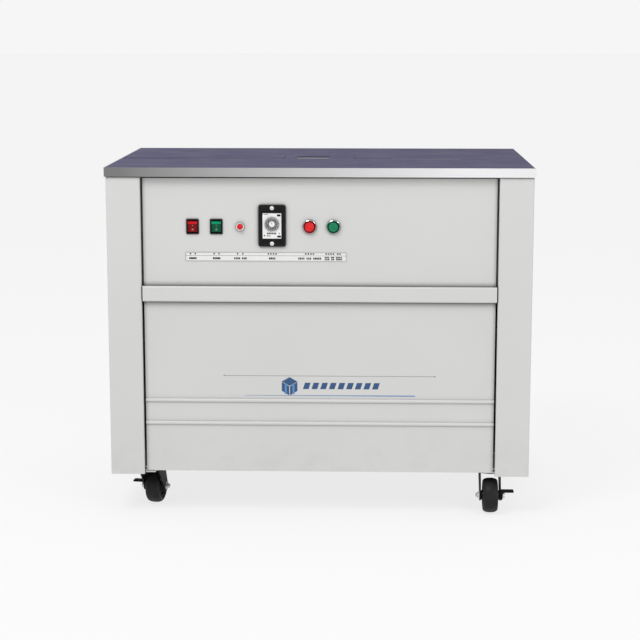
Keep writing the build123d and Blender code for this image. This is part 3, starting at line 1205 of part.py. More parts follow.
with BuildPart() as electrical_box:
    block(BOX_LEFT, BOX_RIGHT, BOX_FRONT, BOX_BACK, TRAY_TOP, BOX_TOP)
    block(BOX_LEFT + SHEET, BOX_RIGHT - SHEET, BOX_FRONT, BOX_BACK - SHEET, TRAY_TOP + SHEET, BOX_TOP - SHEET,
          Mode.SUBTRACT)
    back = BOX_BACK - SHEET
    parts_top = BOX_TOP - PARTS_TOP_DROP
    parts_bottom = parts_top - PARTS_HEIGHT
    parts_left = BOX_LEFT + PART_MARGIN
    parts_right = BOX_RIGHT - PART_MARGIN
    contactor_right = parts_left + CONTACTOR_WIDTH
    block(parts_left, contactor_right, back - CONTACTOR_DEPTH, back, parts_bottom, parts_top)
    block(contactor_right + PART_GAP, parts_right, back - RELAY_DEPTH, back, parts_bottom, parts_top)
    block(parts_left, parts_right, back - TRANSFORMER_DEPTH, back,
          TRAY_TOP + SHEET, TRAY_TOP + TRANSFORMER_TOP)
keep(electrical_box, "electrical_box")
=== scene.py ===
import json
import math
import random

import bmesh
import bpy
from mathutils import Matrix, Vector
from mathutils.bvhtree import BVHTree


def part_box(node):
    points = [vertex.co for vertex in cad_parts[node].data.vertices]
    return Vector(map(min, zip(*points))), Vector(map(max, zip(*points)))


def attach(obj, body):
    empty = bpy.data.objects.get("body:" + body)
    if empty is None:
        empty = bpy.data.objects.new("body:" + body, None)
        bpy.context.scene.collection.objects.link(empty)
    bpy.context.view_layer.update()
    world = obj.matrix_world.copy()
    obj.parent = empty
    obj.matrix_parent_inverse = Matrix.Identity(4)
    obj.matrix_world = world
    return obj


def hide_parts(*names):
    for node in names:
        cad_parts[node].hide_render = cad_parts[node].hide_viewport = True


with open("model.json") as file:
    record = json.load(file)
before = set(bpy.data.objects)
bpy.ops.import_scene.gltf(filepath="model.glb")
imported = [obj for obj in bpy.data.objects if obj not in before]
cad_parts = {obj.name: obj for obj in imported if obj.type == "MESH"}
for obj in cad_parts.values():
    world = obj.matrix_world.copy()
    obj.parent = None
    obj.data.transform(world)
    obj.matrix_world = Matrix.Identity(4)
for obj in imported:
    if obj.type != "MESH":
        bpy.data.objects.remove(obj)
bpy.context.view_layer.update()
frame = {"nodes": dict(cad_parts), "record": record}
random.seed(7)

JOINTS = {joint["name"]: joint for joint in frame["record"]["behaviour"]["joints"]}
SLOTS = {part["node"]: part["material_slot"] for part in frame["record"]["subparts"]}
CORNERS = ("front_left", "front_right", "rear_left", "rear_right")
MM = 0.001
AHEAD = (0, 1, 0)
TOWARD = (0, -1, 0)

# ---------------------------------------------------------------- camera

CAMERA_PLACE = (0.1097, -3.8363, 1.0394)
CAMERA_PITCH = math.radians(90 - 9.805)
CAMERA_YAW = math.radians(1.745)
CAMERA_LENS = 96.14


def make_camera():
    data = bpy.data.cameras.new("camera")
    data.lens = CAMERA_LENS
    data.sensor_width = 36.0
    camera = bpy.data.objects.new("camera", data)
    camera.location = CAMERA_PLACE
    camera.rotation_euler = (CAMERA_PITCH, 0, CAMERA_YAW)
    bpy.context.scene.collection.objects.link(camera)
    bpy.context.scene.camera = camera


make_camera()

# ---------------------------------------------------------------- material tools


class Surface:
    """A material under construction: its node tree with a Principled shader."""

    def __init__(self, name, colour, roughness, metallic=0.0, specular=0.5):
        self.material = bpy.data.materials.new(name)
        self.material.use_nodes = True
        self.nodes = self.material.node_tree.nodes
        self.links = self.material.node_tree.links
        self.shader = self.nodes["Principled BSDF"]
        self.shader.inputs["Base Color"].default_value = (*colour, 1)
        self.shader.inputs["Roughness"].default_value = roughness
        self.shader.inputs["Metallic"].default_value = metallic
        self.shader.inputs["Specular IOR Level"].default_value = specular
        self.place = self.nodes.new("ShaderNodeTexCoord").outputs["Object"]

    def join(self, source, target):
        self.links.new(source, target)

    def made(self, kind, **values):
        """A new node of a kind, with some of its inputs set."""
        node = self.nodes.new(kind)
        for name, value in values.items():
            node.inputs[name.replace("_", " ")].default_value = value
        return node

    def times(self, first, second):
        node = self.nodes.new("ShaderNodeMath")
        node.operation = "MULTIPLY"
        self.join(first, node.inputs[0])
        self.join(second, node.inputs[1])
        return node.outputs[0]

    def stretched(self, scale):
        """The surface position, scaled differently along each axis."""
        node = self.made("ShaderNodeMapping", Scale=scale)
        self.join(self.place, node.inputs["Vector"])
        return node.outputs["Vector"]

    def noise(self, scale, detail=3.0, rough=0.5, stretch=(1, 1, 1)):
        node = self.made("ShaderNodeTexNoise", Scale=scale, Detail=detail, Roughness=rough)
        self.join(self.stretched(stretch), node.inputs["Vector"])
        return node.outputs["Fac"]

    def cells(self, scale, stretch=(1, 1, 1)):
        node = self.made("ShaderNodeTexVoronoi", Scale=scale)
        self.join(self.stretched(stretch), node.inputs["Vector"])
        return node.outputs["Distance"]

    def ranged(self, value, low, high, out_low, out_high):
        node = self.made("ShaderNodeMapRange", From_Min=low, From_Max=high, To_Min=out_low, To_Max=out_high)
        self.join(value, node.inputs["Value"])
        return node.outputs["Result"]

    def blend(self, factor, first, second):
        """A colour between two, each a colour or another node's output."""
        node = self.nodes.new("ShaderNodeMix")
        node.data_type = "RGBA"
        self.join(factor, node.inputs["Factor"])
        for value, socket in ((first, node.inputs["A"]), (second, node.inputs["B"])):
            if isinstance(value, tuple):
                socket.default_value = (*value, 1)
            else:
                self.join(value, socket)
        return node.outputs["Result"]

    def along(self, axis):
        node = self.nodes.new("ShaderNodeSeparateXYZ")
        self.join(self.place, node.inputs["Vector"])
        return node.outputs[axis]

    def bump(self, height, strength, distance):
        """Adds a bump on top of any that the surface already has."""
        node = self.made("ShaderNodeBump", Strength=strength, Distance=distance)
        self.join(height, node.inputs["Height"])
        normal = self.shader.inputs["Normal"]
        if normal.is_linked:
            self.join(normal.links[0].from_socket, node.inputs["Normal"])
        self.join(node.outputs["Normal"], normal)

    def colour(self, value):
        self.join(value, self.shader.inputs["Base Color"])

    def roughness(self, value):
        self.join(value, self.shader.inputs["Roughness"])


BRUSH_SCALE = 2500
STRIP_EDGE = 0.0007
PAINTED_STRIP_GLOW = 0.22
CREASE_REACH = 0.012
CREASE_SAMPLES = 8
ALONG_X = (0.006, 1, 1)
ALONG_Y = (1, 0.006, 1)


def shade(colour, factor):
    return tuple(channel * factor for channel in colour)


def powder_coat(name, colour, roughness=0.45, peel=0.10, specular=0.3):
    """Sprayed and baked paint: orange peel, faint clouding, dust low down, and painted shade in creases and
    under edges.
    """
    surface = Surface(name, colour, roughness, specular=specular)
    clouds = surface.ranged(surface.noise(3.0, 4), 0.35, 0.65, 0, 1)
    body = surface.blend(clouds, shade(colour, 0.985), shade(colour, 1.015))
    specks = surface.ranged(surface.cells(420), 0.0, 0.10, 1, 0)
    speckled = surface.blend(surface.ranged(specks, 0, 1, 0, 0.10), body, shade(colour, 0.8))
    low = surface.ranged(surface.along("Z"), 0.10, 0.20, 1, 0)
    dirt = surface.times(low, surface.ranged(surface.noise(26, 5), 0.45, 0.75, 0, 0.18))
    dirty = surface.blend(dirt, speckled, shade(colour, 0.62))
    # Painted shade: ambient occlusion darkens the paint in creases, seams and under edges.
    creases = surface.made("ShaderNodeAmbientOcclusion", Distance=CREASE_REACH)
    creases.samples = CREASE_SAMPLES
    painted_crease_shade = surface.ranged(creases.outputs["AO"], 0.45, 0.97, 1, 0)
    surface.colour(surface.blend(painted_crease_shade, dirty, shade(colour, 0.18)))
    surface.roughness(surface.ranged(surface.noise(60, 3), 0.3, 0.7, roughness - 0.05, roughness + 0.07))
    surface.bump(surface.noise(850, 2), peel, 0.0003)
    surface.bump(surface.noise(7, 2), 0.05, 0.002)
    return surface.material


def brushed_metal(name, colour, roughness, stretch, depth=0.12, metallic=1.0, left_painted_shade=1.0):
    """Metal brushed along one direction, with faint smears; painted shade can darken it towards the left."""
    surface = Surface(name, colour, roughness, metallic=metallic)
    lines = surface.noise(BRUSH_SCALE, 3, 0.6, stretch)
    tone = surface.ranged(lines, 0.3, 0.7, 0, 1)
    brushed = surface.blend(tone, shade(colour, 0.90), shade(colour, 1.05))
    smears = surface.ranged(surface.noise(9, 4), 0.5, 0.8, 0, 0.18)
    smeared = surface.blend(smears, brushed, shade(colour, 0.80))
    # Painted shade: the colour darkens towards the left by the given factor.
    painted_shade_across = surface.ranged(surface.along("X"), -0.42, 0.30, 0, 1)
    surface.colour(surface.blend(painted_shade_across, shade(colour, left_painted_shade), smeared))
    surface.roughness(surface.ranged(lines, 0.3, 0.7, roughness - 0.05, roughness + 0.08))
    surface.bump(lines, depth, 0.0001)
    return surface.material


def zinc(name, colour, roughness=0.38):
    """Bright plated steel with its fine spangle."""
    surface = Surface(name, colour, roughness, metallic=1.0)
    spangle = surface.ranged(surface.cells(90), 0.0, 0.9, 0, 1)
    surface.colour(surface.blend(spangle, shade(colour, 0.82), shade(colour, 1.08)))
    surface.roughness(surface.ranged(surface.noise(140, 4), 0.3, 0.7, roughness - 0.08, roughness + 0.12))
    surface.bump(surface.noise(600, 2), 0.06, 0.0002)
    return surface.material


def moulded(name, colour, roughness, grain=700, depth=0.12, specular=0.5):
    """Moulded plastic: a fine spark-eroded grain and slight flow marks."""
    surface = Surface(name, colour, roughness, specular=specular)
    flow = surface.ranged(surface.noise(35, 3), 0.35, 0.7, 0, 1)
    surface.colour(surface.blend(flow, shade(colour, 0.93), shade(colour, 1.07)))
    surface.roughness(surface.ranged(surface.noise(160, 4), 0.3, 0.7, roughness - 0.05, roughness + 0.08))
    surface.bump(surface.noise(grain, 2), depth, 0.0002)
    return surface.material


def rubber(name, colour):
    """Black rubber, dull, with patches of dust."""
    surface = Surface(name, colour, 0.55, specular=0.3)
    dust = surface.ranged(surface.noise(55, 6, 0.65), 0.48, 0.72, 0, 0.22)
    surface.colour(surface.blend(dust, colour, (0.05, 0.048, 0.045)))
    surface.roughness(surface.ranged(surface.noise(110, 4), 0.3, 0.7, 0.5, 0.75))
    surface.bump(surface.noise(480, 3), 0.25, 0.0003)
    return surface.material


def laminate(name, colour):
    """Hard laminate: a fine pebble texture, a little mottling, faint rub marks and painted shade towards the
    right.
    """
    surface = Surface(name, colour, 0.6, specular=0.03)
    mottle = surface.ranged(surface.noise(700, 4, 0.6), 0.35, 0.65, 0, 1)
    body = surface.blend(mottle, shade(colour, 0.90), shade(colour, 1.10))
    # Painted shade: the colour darkens a little towards the right.
    painted_shade_to_right = surface.ranged(surface.along("X"), -0.45, 0.45, 0, 1)
    painted_shaded_body = surface.blend(painted_shade_to_right, body, shade(colour, 0.93))
    rubs = surface.ranged(surface.noise(6, 5, 0.6, (1, 3, 1)), 0.58, 0.80, 0, 0.07)
    surface.colour(surface.blend(rubs, painted_shaded_body, shade(colour, 1.35)))
    surface.roughness(surface.ranged(surface.noise(12, 5), 0.35, 0.7, 0.55, 0.70))
    surface.bump(surface.cells(520), 0.10, 0.0002)
    return surface.material


def printed_film(name, colour):
    """Adhesive film: smooth and slightly glossy, with a soft ripple."""
    surface = Surface(name, colour, 0.32, specular=0.4)
    surface.colour(surface.blend(surface.ranged(surface.noise(18, 3), 0.3, 0.7, 0, 1),
                                 shade(colour, 0.96), shade(colour, 1.03)))
    surface.bump(surface.noise(40, 2), 0.04, 0.0004)
    return surface.material


def polished(name, colour):
    """Bright plating: smooth, with faint polishing swirls and painted shade that darkens it edge-on."""
    surface = Surface(name, colour, 0.12, metallic=1.0)
    edge_on_painted_shade = surface.made("ShaderNodeLayerWeight", Blend=0.45)
    swirl = surface.ranged(surface.noise(300, 3), 0.3, 0.7, 0, 1)
    bright = surface.blend(swirl, shade(colour, 0.93), shade(colour, 1.03))
    # Painted shade: the colour darkens where the surface is seen edge-on.
    surface.colour(surface.blend(edge_on_painted_shade.outputs["Facing"], bright, shade(colour, 0.30)))
    surface.roughness(surface.ranged(swirl, 0, 1, 0.09, 0.17))
    surface.bump(surface.noise(900, 2), 0.02, 0.0001)
    return surface.material


def lit_lens(name, colour, painted_glow, strip=None):
    """A translucent coloured plastic with a faint painted glow; a band of it can carry a brighter painted
    glow, with the rest painted darker as shade.
    """
    surface = Surface(name, colour, 0.25, specular=0.12)
    mottle = surface.ranged(surface.noise(90, 3), 0.3, 0.7, 0, 1)
    body = surface.blend(mottle, shade(colour, 0.85), shade(colour, 1.12))
    # Painted glow: the plastic gives off a faint light of its own colour.
    surface.shader.inputs["Emission Color"].default_value = (*colour, 1)
    surface.shader.inputs["Emission Strength"].default_value = painted_glow
    if strip:
        # Painted light: a narrow band glows brighter, and the rest of the body is painted darker as shade.
        height = surface.along("Z")
        inside = surface.times(surface.ranged(height, strip[0], strip[0] + STRIP_EDGE, 0, 1),
                               surface.ranged(height, strip[1] - STRIP_EDGE, strip[1], 1, 0))
        body = surface.blend(inside, shade(colour, 0.33), body)
        strength = surface.ranged(inside, 0, 1, painted_glow, PAINTED_STRIP_GLOW)
        surface.join(strength, surface.shader.inputs["Emission Strength"])
    surface.colour(body)
    surface.shader.inputs["Coat Weight"].default_value = 0.04 if strip else 0.12
    surface.shader.inputs["Coat Roughness"].default_value = 0.10
    surface.bump(surface.noise(400, 2), 0.05, 0.0002)
    return surface.material


PAINTS = {
    "cabinet_paint": powder_coat("cabinet_paint", (0.605, 0.605, 0.597)),
    # The laminate carries painted shade towards the right.
    "table_laminate": laminate("table_laminate", (0.076, 0.073, 0.128)),
    # The table steel band carries painted shade towards the left.
    "table_steel": brushed_metal("table_steel", (0.86, 0.86, 0.87), 0.32, ALONG_X, 0.12, 0.35, 0.22),
    "frame_steel": powder_coat("frame_steel", (0.17, 0.18, 0.19), 0.55, 0.2),
    "bright_steel": zinc("bright_steel", (0.62, 0.62, 0.60)),
    "head_steel": brushed_metal("head_steel", (0.50, 0.50, 0.51), 0.34, ALONG_Y),
    "caster_black": powder_coat("caster_black", (0.005, 0.005, 0.0055), 0.55, 0.10, 0.14),
    "tyre_black": rubber("tyre_black", (0.006, 0.006, 0.006)),
    "black_plastic": moulded("black_plastic", (0.005, 0.005, 0.0055), 0.40, specular=0.22),
    # The red and green plastics carry a faint painted glow.
    "red_plastic": lit_lens("red_plastic", (0.62, 0.018, 0.02), 0.06),
    "green_plastic": lit_lens("green_plastic", (0.008, 0.19, 0.085), 0.05),
    "chrome_ring": polished("chrome_ring", (0.80, 0.80, 0.81)),
    "label_white": printed_film("label_white", (0.74, 0.74, 0.73)),
    "dial_grey": moulded("dial_grey", (0.085, 0.085, 0.09), 0.4),
    "motor_grey": powder_coat("motor_grey", (0.075, 0.10, 0.13), 0.40, 0.22),
    "belt_rubber": rubber("belt_rubber", (0.02, 0.02, 0.02)),
    "reel_plastic": moulded("reel_plastic", (0.025, 0.025, 0.027), 0.5),
}
INK = printed_film("printed_ink", (0.012, 0.012, 0.016))
GREY_INK = printed_film("grey_ink", (0.20, 0.21, 0.23))
BLUE_INK = printed_film("blue_ink", (0.028, 0.082, 0.20))
PALE_BLUE_INK = printed_film("pale_blue_ink", (0.10, 0.24, 0.48))
WHITE_PLASTIC = moulded("white_plastic", (0.78, 0.78, 0.77), 0.38)
SCREW_PLATING = moulded("screw_plating", (0.80, 0.80, 0.79), 0.22, 900, 0.04)
DIM_MARK = moulded("dim_mark", (0.42, 0.36, 0.35), 0.4)
# The rocker plastics carry a brighter painted glow along a band, over a body painted darker as shade.
ROCKER_PAINTED_STRIP = (0.6272, 0.6326)
ROCKER_RED = lit_lens("rocker_red", (0.55, 0.006, 0.010), 0.02, ROCKER_PAINTED_STRIP)
ROCKER_GREEN = lit_lens("rocker_green", (0.0, 0.26, 0.11), 0.02, ROCKER_PAINTED_STRIP)
SLIDE_STEEL = brushed_metal("slide_steel", (0.075, 0.073, 0.11), 0.42, ALONG_Y, 0.08)

for node, slot in SLOTS.items():
    thing = frame["nodes"][node]
    thing.data.materials.clear()
    thing.data.materials.append(SLIDE_STEEL if node == "slide_plate" else PAINTS[slot])

# ---------------------------------------------------------------- mesh tools


def finished(name, mesh, material, body, smooth=True):
    """Turns a bmesh into an object that rides on a body."""
    data = bpy.data.meshes.new(name)
    bmesh.ops.recalc_face_normals(mesh, faces=mesh.faces)
    mesh.to_mesh(data)
    mesh.free()
    data.materials.append(material)
    if smooth:
        data.polygons.foreach_set("use_smooth", [True] * len(data.polygons))
    piece = bpy.data.objects.new(name, data)
    bpy.context.scene.collection.objects.link(piece)
    if smooth:
        data.set_sharp_from_angle(angle=math.radians(38))
    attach(piece, body)
    return piece


def frame_at(centre, axis):
    """The matrix that puts local Z along an axis at a place."""
    turn = Vector(axis).normalized().to_track_quat("Z", "Y")
    return Matrix.Translation(Vector(centre)) @ turn.to_matrix().to_4x4()


def add_lathe(mesh, profile, centre, axis, steps=64):
    """Adds a closed ring: profile points are (radius, height) going round its section."""
    place = frame_at(centre, axis)
    rings = []
    for radius, height in profile:
        if radius < 1e-7:
            rings.append([mesh.verts.new(place @ Vector((0, 0, height)))])
            continue
        ring = []
        for step in range(steps):
            angle = 2 * math.pi * step / steps
            around_axis = (radius * math.cos(angle), radius * math.sin(angle), height)
            ring.append(mesh.verts.new(place @ Vector(around_axis)))
        rings.append(ring)
    closed = len(rings[0]) > 1 and len(rings[-1]) > 1
    pairs = list(zip(rings, rings[1:]))
    if closed:
        pairs.append((rings[-1], rings[0]))
    for lower, upper in pairs:
        for step in range(steps):
            after = (step + 1) % steps
            corners = [lower[step % len(lower)], lower[after % len(lower)],
                       upper[after % len(upper)], upper[step % len(upper)]]
            unique = list(dict.fromkeys(corners))
            if len(unique) > 2:
                mesh.faces.new(unique)


def rounded(points, radius, steps=4):
    """A closed outline with its corners rounded."""
    result = []
    count = len(points)
    for index in range(count):
        here = Vector(points[index])
        before = (Vector(points[index - 1]) - here)
        after = (Vector(points[(index + 1) % count]) - here)
        reach = min(radius, before.length * 0.49, after.length * 0.49)
        start = here + before.normalized() * reach
        end = here + after.normalized() * reach
        for step in range(steps + 1):
            part = step / steps
            result.append((start * (1 - part) ** 2 + here * 2 * part * (1 - part) + end * part ** 2)[:])
    return result


def add_block(mesh, low, high, bevel=0.0, steps=2):
    """Adds a box between two corners, with its edges rounded."""
    low, high = Vector(low), Vector(high)
    made = bmesh.ops.create_cube(mesh, size=1.0)["verts"]
    for vert in made:
        vert.co = Vector([(low[k] + high[k]) / 2 + vert.co[k] * (high[k] - low[k]) for k in range(3)])
    if bevel:
        edges = list({edge for vert in made for edge in vert.link_edges})
        bmesh.ops.bevel(mesh, geom=edges, offset=bevel, segments=steps, profile=0.5, affect="EDGES")


def facing(x, y, z):
    """The plane at a place, seen by the operator: X right, Y up, Z out of the panel."""
    return Matrix.Translation((x, y, z)) @ Matrix(((1, 0, 0, 0), (0, 0, -1, 0), (0, 1, 0, 0), (0, 0, 0, 1)))


def rectangle(x0, x1, y0, y1):
    return [(x0, y0), (x1, y0), (x1, y1), (x0, y1)]


def inset(outline, amount):
    """A counter-clockwise outline drawn in by an amount."""
    result = []
    count = len(outline)
    for index in range(count):
        here = Vector(outline[index])
        came = (here - Vector(outline[index - 1])).normalized()
        goes = (Vector(outline[(index + 1) % count]) - here).normalized()
        inward = Vector((-came.y - goes.y, came.x + goes.x)).normalized()
        result.append((here + inward * amount)[:])
    return result


def add_loft(mesh, loops, ring=False):
    """Skins a row of closed loops of points, capped at both ends or joined round into a ring."""
    rows = [[mesh.verts.new(point) for point in loop] for loop in loops]
    pairs = list(zip(rows, rows[1:]))
    if ring:
        pairs.append((rows[-1], rows[0]))
    else:
        mesh.faces.new(rows[0])
        mesh.faces.new(list(reversed(rows[-1])))
    count = len(rows[0])
    for lower, upper in pairs:
        for step in range(count):
            after = (step + 1) % count
            mesh.faces.new([lower[step], upper[step], upper[after], lower[after]])


def laid(outline, place, height):
    """A 2-D outline as points at a height over a place's plane."""
    return [place @ Vector((x, y, height)) for x, y in outline]


def add_plate(mesh, outline, place, thickness, edge=0.0):
    """A plate over a place's plane; its outer edge is rounded by the given radius."""
    loops = [laid(outline, place, 0)]
    if edge:
        loops.append(laid(outline, place, thickness - edge))
        loops.append(laid(inset(outline, edge * 0.3), place, thickness - edge * 0.3))
    loops.append(laid(inset(outline, edge) if edge else outline, place, thickness))
    add_loft(mesh, loops)


def add_surround(mesh, outer, inner, place, thickness, edge=0.0):
    """A flat frame between two outlines that have the same number of points."""
    add_loft(mesh, [laid(outer, place, 0), laid(outer, place, thickness - edge),
                    laid(inset(outer, edge), place, thickness), laid(inner, place, thickness),
                    laid(inner, place, 0)], ring=True)


def round_rectangle(width, height, radius, x=0.0, y=0.0, steps=5):
    outline = rectangle(x - width / 2, x + width / 2, y - height / 2, y + height / 2)
    return rounded(outline, radius, steps)


def circle(radius, steps=48, x=0.0, y=0.0, start=0.0):
    return [(x + radius * math.cos(start + 2 * math.pi * step / steps),
             y + radius * math.sin(start + 2 * math.pi * step / steps)) for step in range(steps)]


def add_hexagon(mesh, radius, place, height, chamfer=0.0008):
    """A hexagon head or nut whose outer corners are turned off."""
    shape = circle(radius, 6)
    turned = [(x * (1 - chamfer / radius), y * (1 - chamfer / radius)) for x, y in shape]
    add_loft(mesh, [laid(shape, place, 0), laid(shape, place, height - chamfer * 0.6),
                    laid(turned, place, height)])


def add_stroke(mesh, start, end, width, place, thickness):
    """A straight printed or moulded bar between two points of a plane."""
    start, end = Vector(start), Vector(end)
    side = Vector((-(end - start).y, (end - start).x)).normalized() * width / 2
    corners = (start - side, end - side, end + side, start + side)
    add_plate(mesh, [corner[:] for corner in corners], place, thickness)


def mirrored(profile):
    """A lathe section completed with its own reflection in height."""
    return profile + [(radius, -height) for radius, height in reversed(profile)]


def middle(node):
    low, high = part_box(node)
    return (low + high) / 2


SEGMENTS = {"0": "abcdef", "1": "bc", "2": "abged", "3": "abgcd", "4": "fgbc", "5": "afgcd", "6": "afgedc",
            "7": "abc", "8": "abcdefg", "9": "abcfgd"}
SEGMENT_ENDS = {"a": ((0, 2), (1, 2)), "b": ((1, 2), (1, 1)), "c": ((1, 1), (1, 0)), "d": ((0, 0), (1, 0)),
                "e": ((0, 1), (0, 0)), "f": ((0, 2), (0, 1)), "g": ((0, 1), (1, 1))}


def add_number(mesh, text, place, size, stroke, thickness):
    """A number on a dial, in plain straight strokes, centred on the place."""
    pitch = size * 0.8
    for index, digit in enumerate(text):
        left = (index - len(text) / 2) * pitch + (pitch - size / 2) / 2
        for segment in SEGMENTS[digit]:
            (x0, y0), (x1, y1) = SEGMENT_ENDS[segment]
            start = (left + x0 * size / 2, (y0 - 1) * size / 2)
            end = (left + x1 * size / 2, (y1 - 1) * size / 2)
            add_stroke(mesh, start, end, stroke, place, thickness)


# ---------------------------------------------------------------- casters

TYRE_SECTION = mirrored([(24.3, -11.0), (25.2, -13.4), (26.4, -14.6), (26.9, -14.2), (27.6, -14.9),
                         (30.0, -15.8), (32.0, -15.6), (34.2, -14.0), (35.8, -11.2), (36.9, -7.2),
                         (37.3, -3.5), (37.45, -0.5)])
HUB_SECTION = mirrored([(4.3, -19.4), (9.6, -19.4), (10.6, -18.6), (10.9, -12.5), (12.4, -9.6), (21.5, -9.0),
                        (22.8, -10.2), (23.4, -12.2), (24.4, -12.4)])
WASHER_SECTION = [(4.2, 0.05), (8.2, 0.05), (8.4, 0.35), (8.2, 0.7), (4.2, 0.7)]
AXLE_END_SECTION = [(0, 8.2), (3.4, 8.2), (4.15, 7.6), (4.2, 1.0), (0, 1.0)]
RACE_SECTION = [(28.9, -5.6), (30.4, -5.4), (30.9, -4.2), (30.9, -2.2), (30.2, -1.0), (28.9, -0.8)]
HUB_SPOKES = 6
SPOKE_START, SPOKE_END = 0.0098, 0.0232
SPOKE_HALF = 1.2 * MM
AXLE_OUTSIDE = 23.0 * MM
NUT_HEIGHT = 4.2 * MM
BRAKE_SIDE_START = 26.75 * MM


def scaled(profile):
    return [(radius * MM, height * MM) for radius, height in profile]


def caster_dressing(corner):
    """Rubber tyre, moulded hub, plated axle nuts and ball race of one caster."""
    joint = JOINTS[f"{corner}_wheel_spin"]
    centre, axis = Vector(joint["pos_m"]), Vector(joint["axis"])
    swivel = Vector(JOINTS[f"{corner}_swivel"]["pos_m"])
    wheel, fork = f"wheel_{corner}", f"caster_{corner}"

    mesh = bmesh.new()
    add_lathe(mesh, scaled(TYRE_SECTION), centre, axis, 72)
    tyre = finished(f"tyre_{corner}", mesh, PAINTS["tyre_black"], wheel)
    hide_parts(f"caster_wheel_{corner}")

    mesh = bmesh.new()
    add_lathe(mesh, scaled(HUB_SECTION), centre, axis, 60)
    place = frame_at(centre, axis)
    for side in (-1, 1):
        for spoke in range(HUB_SPOKES):
            turn = place @ Matrix.Rotation(2 * math.pi * spoke / HUB_SPOKES, 4, "Z")
            base = turn @ Matrix.Translation((0, 0, side * 0.0085))
            outline = rectangle(SPOKE_START, SPOKE_END, -SPOKE_HALF, SPOKE_HALF)
            add_loft(mesh, [laid(outline, base, 0), laid(inset(outline, 0.0003), base, side * 0.0032)])
    finished(f"wheel_hub_{corner}", mesh, PAINTS["black_plastic"], wheel)

    mesh = bmesh.new()
    braked = corner.startswith("front")
    near = BRAKE_SIDE_START if braked else AXLE_OUTSIDE
    for side, start in ((-1, near), (1, AXLE_OUTSIDE)):
        out = axis * side
        seat = frame_at(centre + out * start, out)
        add_lathe(mesh, scaled(WASHER_SECTION), centre + out * start, out, 36)
        add_hexagon(mesh, 6.9 * MM, seat @ Matrix.Translation((0, 0, 0.0007)), NUT_HEIGHT)
        if side > 0:
            add_lathe(mesh, scaled(AXLE_END_SECTION), centre + out * start, out, 24)
    finished(f"axle_nuts_{corner}", mesh, PAINTS["bright_steel"], fork)

    mesh = bmesh.new()
    crown_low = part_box(f"caster_fork_{corner}")[1].z
    foot = (swivel.x, swivel.y, crown_low)
    add_lathe(mesh, scaled(RACE_SECTION), foot, (0, 0, 1), 56)
    finished(f"ball_race_{corner}", mesh, PAINTS["bright_steel"], fork)


for corner in CORNERS:
    caster_dressing(corner)


def caster_bolts():
    """Four hexagon bolts with washers under each caster plate."""
    mesh = bmesh.new()
    for corner in CORNERS:
        swivel = JOINTS[f"{corner}_swivel"]["pos_m"]
        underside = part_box("caster_plates")[1].z - 0.003
        for side in (-1, 1):
            for end in (-1, 1):
                at = (swivel[0] + side * 0.0385, swivel[1] + end * 0.0255, underside)
                seat = frame_at(at, (0, 0, -1))
                add_plate(mesh, circle(0.0072, 28), seat, 0.0012, 0.0003)
                add_hexagon(mesh, 0.0062, seat @ Matrix.Translation((0, 0, 0.0012)), 0.0042)
    finished("caster_plate_bolts", mesh, PAINTS["bright_steel"], "cabinet")


caster_bolts()

# ---------------------------------------------------------------- rocker switches

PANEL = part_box("label_plate")[1].y
ROCKER_PIVOT = 0.002
ROCKER_REST = math.radians(8)
ROCKER_OPENING = (0.0211, 0.0271, 0.0008)
ROCKER_BODY = (0.0222, 0.0278, 0.0008)
ROCKER_FRAME = (0.026, 0.0316, 0.0016)


def rocker_key(node, body, paint):
    """A rocker with a painted glowing band, a hollow face, rounded edges and its bar and ring marks."""
    low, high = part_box(node)
    half, width = 0.0122, high.x - low.x - 0.0004
    front = []
    for t in range(-6, 7):
        bulge = 0.0019 * math.cos(math.pi / 2 * t / 6) ** 2
        front.append((-0.0034 + bulge, half * 0.93 * t / 6))
    back = [(0.0004, half), (0.0052, 0.0052), (0.0052, -0.0052), (0.0004, -half)]
    side = [(z, -y) for y, z in front]
    outline = [(half, -0.0004)] + [(z, -y) for y, z in back[1:3]] + [(-half, -0.0004)] + side
    turn = Matrix.Translation((low.x + 0.0002, PANEL + ROCKER_PIVOT, middle("rocker_bezels").z))
    turn = turn @ Matrix.Rotation(ROCKER_REST, 4, "X")
    to_side = turn @ Matrix(((0, 0, 1, 0), (0, -1, 0, 0), (1, 0, 0, 0), (0, 0, 0, 1)))
    mesh = bmesh.new()
    edge = 0.0006
    add_loft(mesh, [laid(inset(outline, edge), to_side, 0), laid(outline, to_side, edge),
                    laid(outline, to_side, width - edge), laid(inset(outline, edge), to_side, width)])
    key = finished(f"{node}_key", mesh, paint, body)
    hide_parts(node)
    mesh = bmesh.new()
    slope = math.atan2(0.0019, half * 0.93)
    for up in (1, -1):
        face = turn @ Matrix.Translation((width / 2, -0.00248, up * 0.0062))
        face = face @ Matrix.Rotation(up * slope, 4, "X")
        face = face @ Matrix(((1, 0, 0, 0), (0, 0, -1, 0), (0, 1, 0, 0), (0, 0, 0, 1)))
        if up > 0:
            add_stroke(mesh, (0, -0.0052), (0, -0.0030), 0.0009, face, 0.0003)
        else:
            add_surround(mesh, circle(0.0020, 28), circle(0.0012, 28), face, 0.0003)
    finished(f"{node}_marks", mesh, DIM_MARK, body)


rocker_key("power_rocker", "power_rocker", ROCKER_RED)
rocker_key("motor_rocker", "motor_rocker", ROCKER_GREEN)


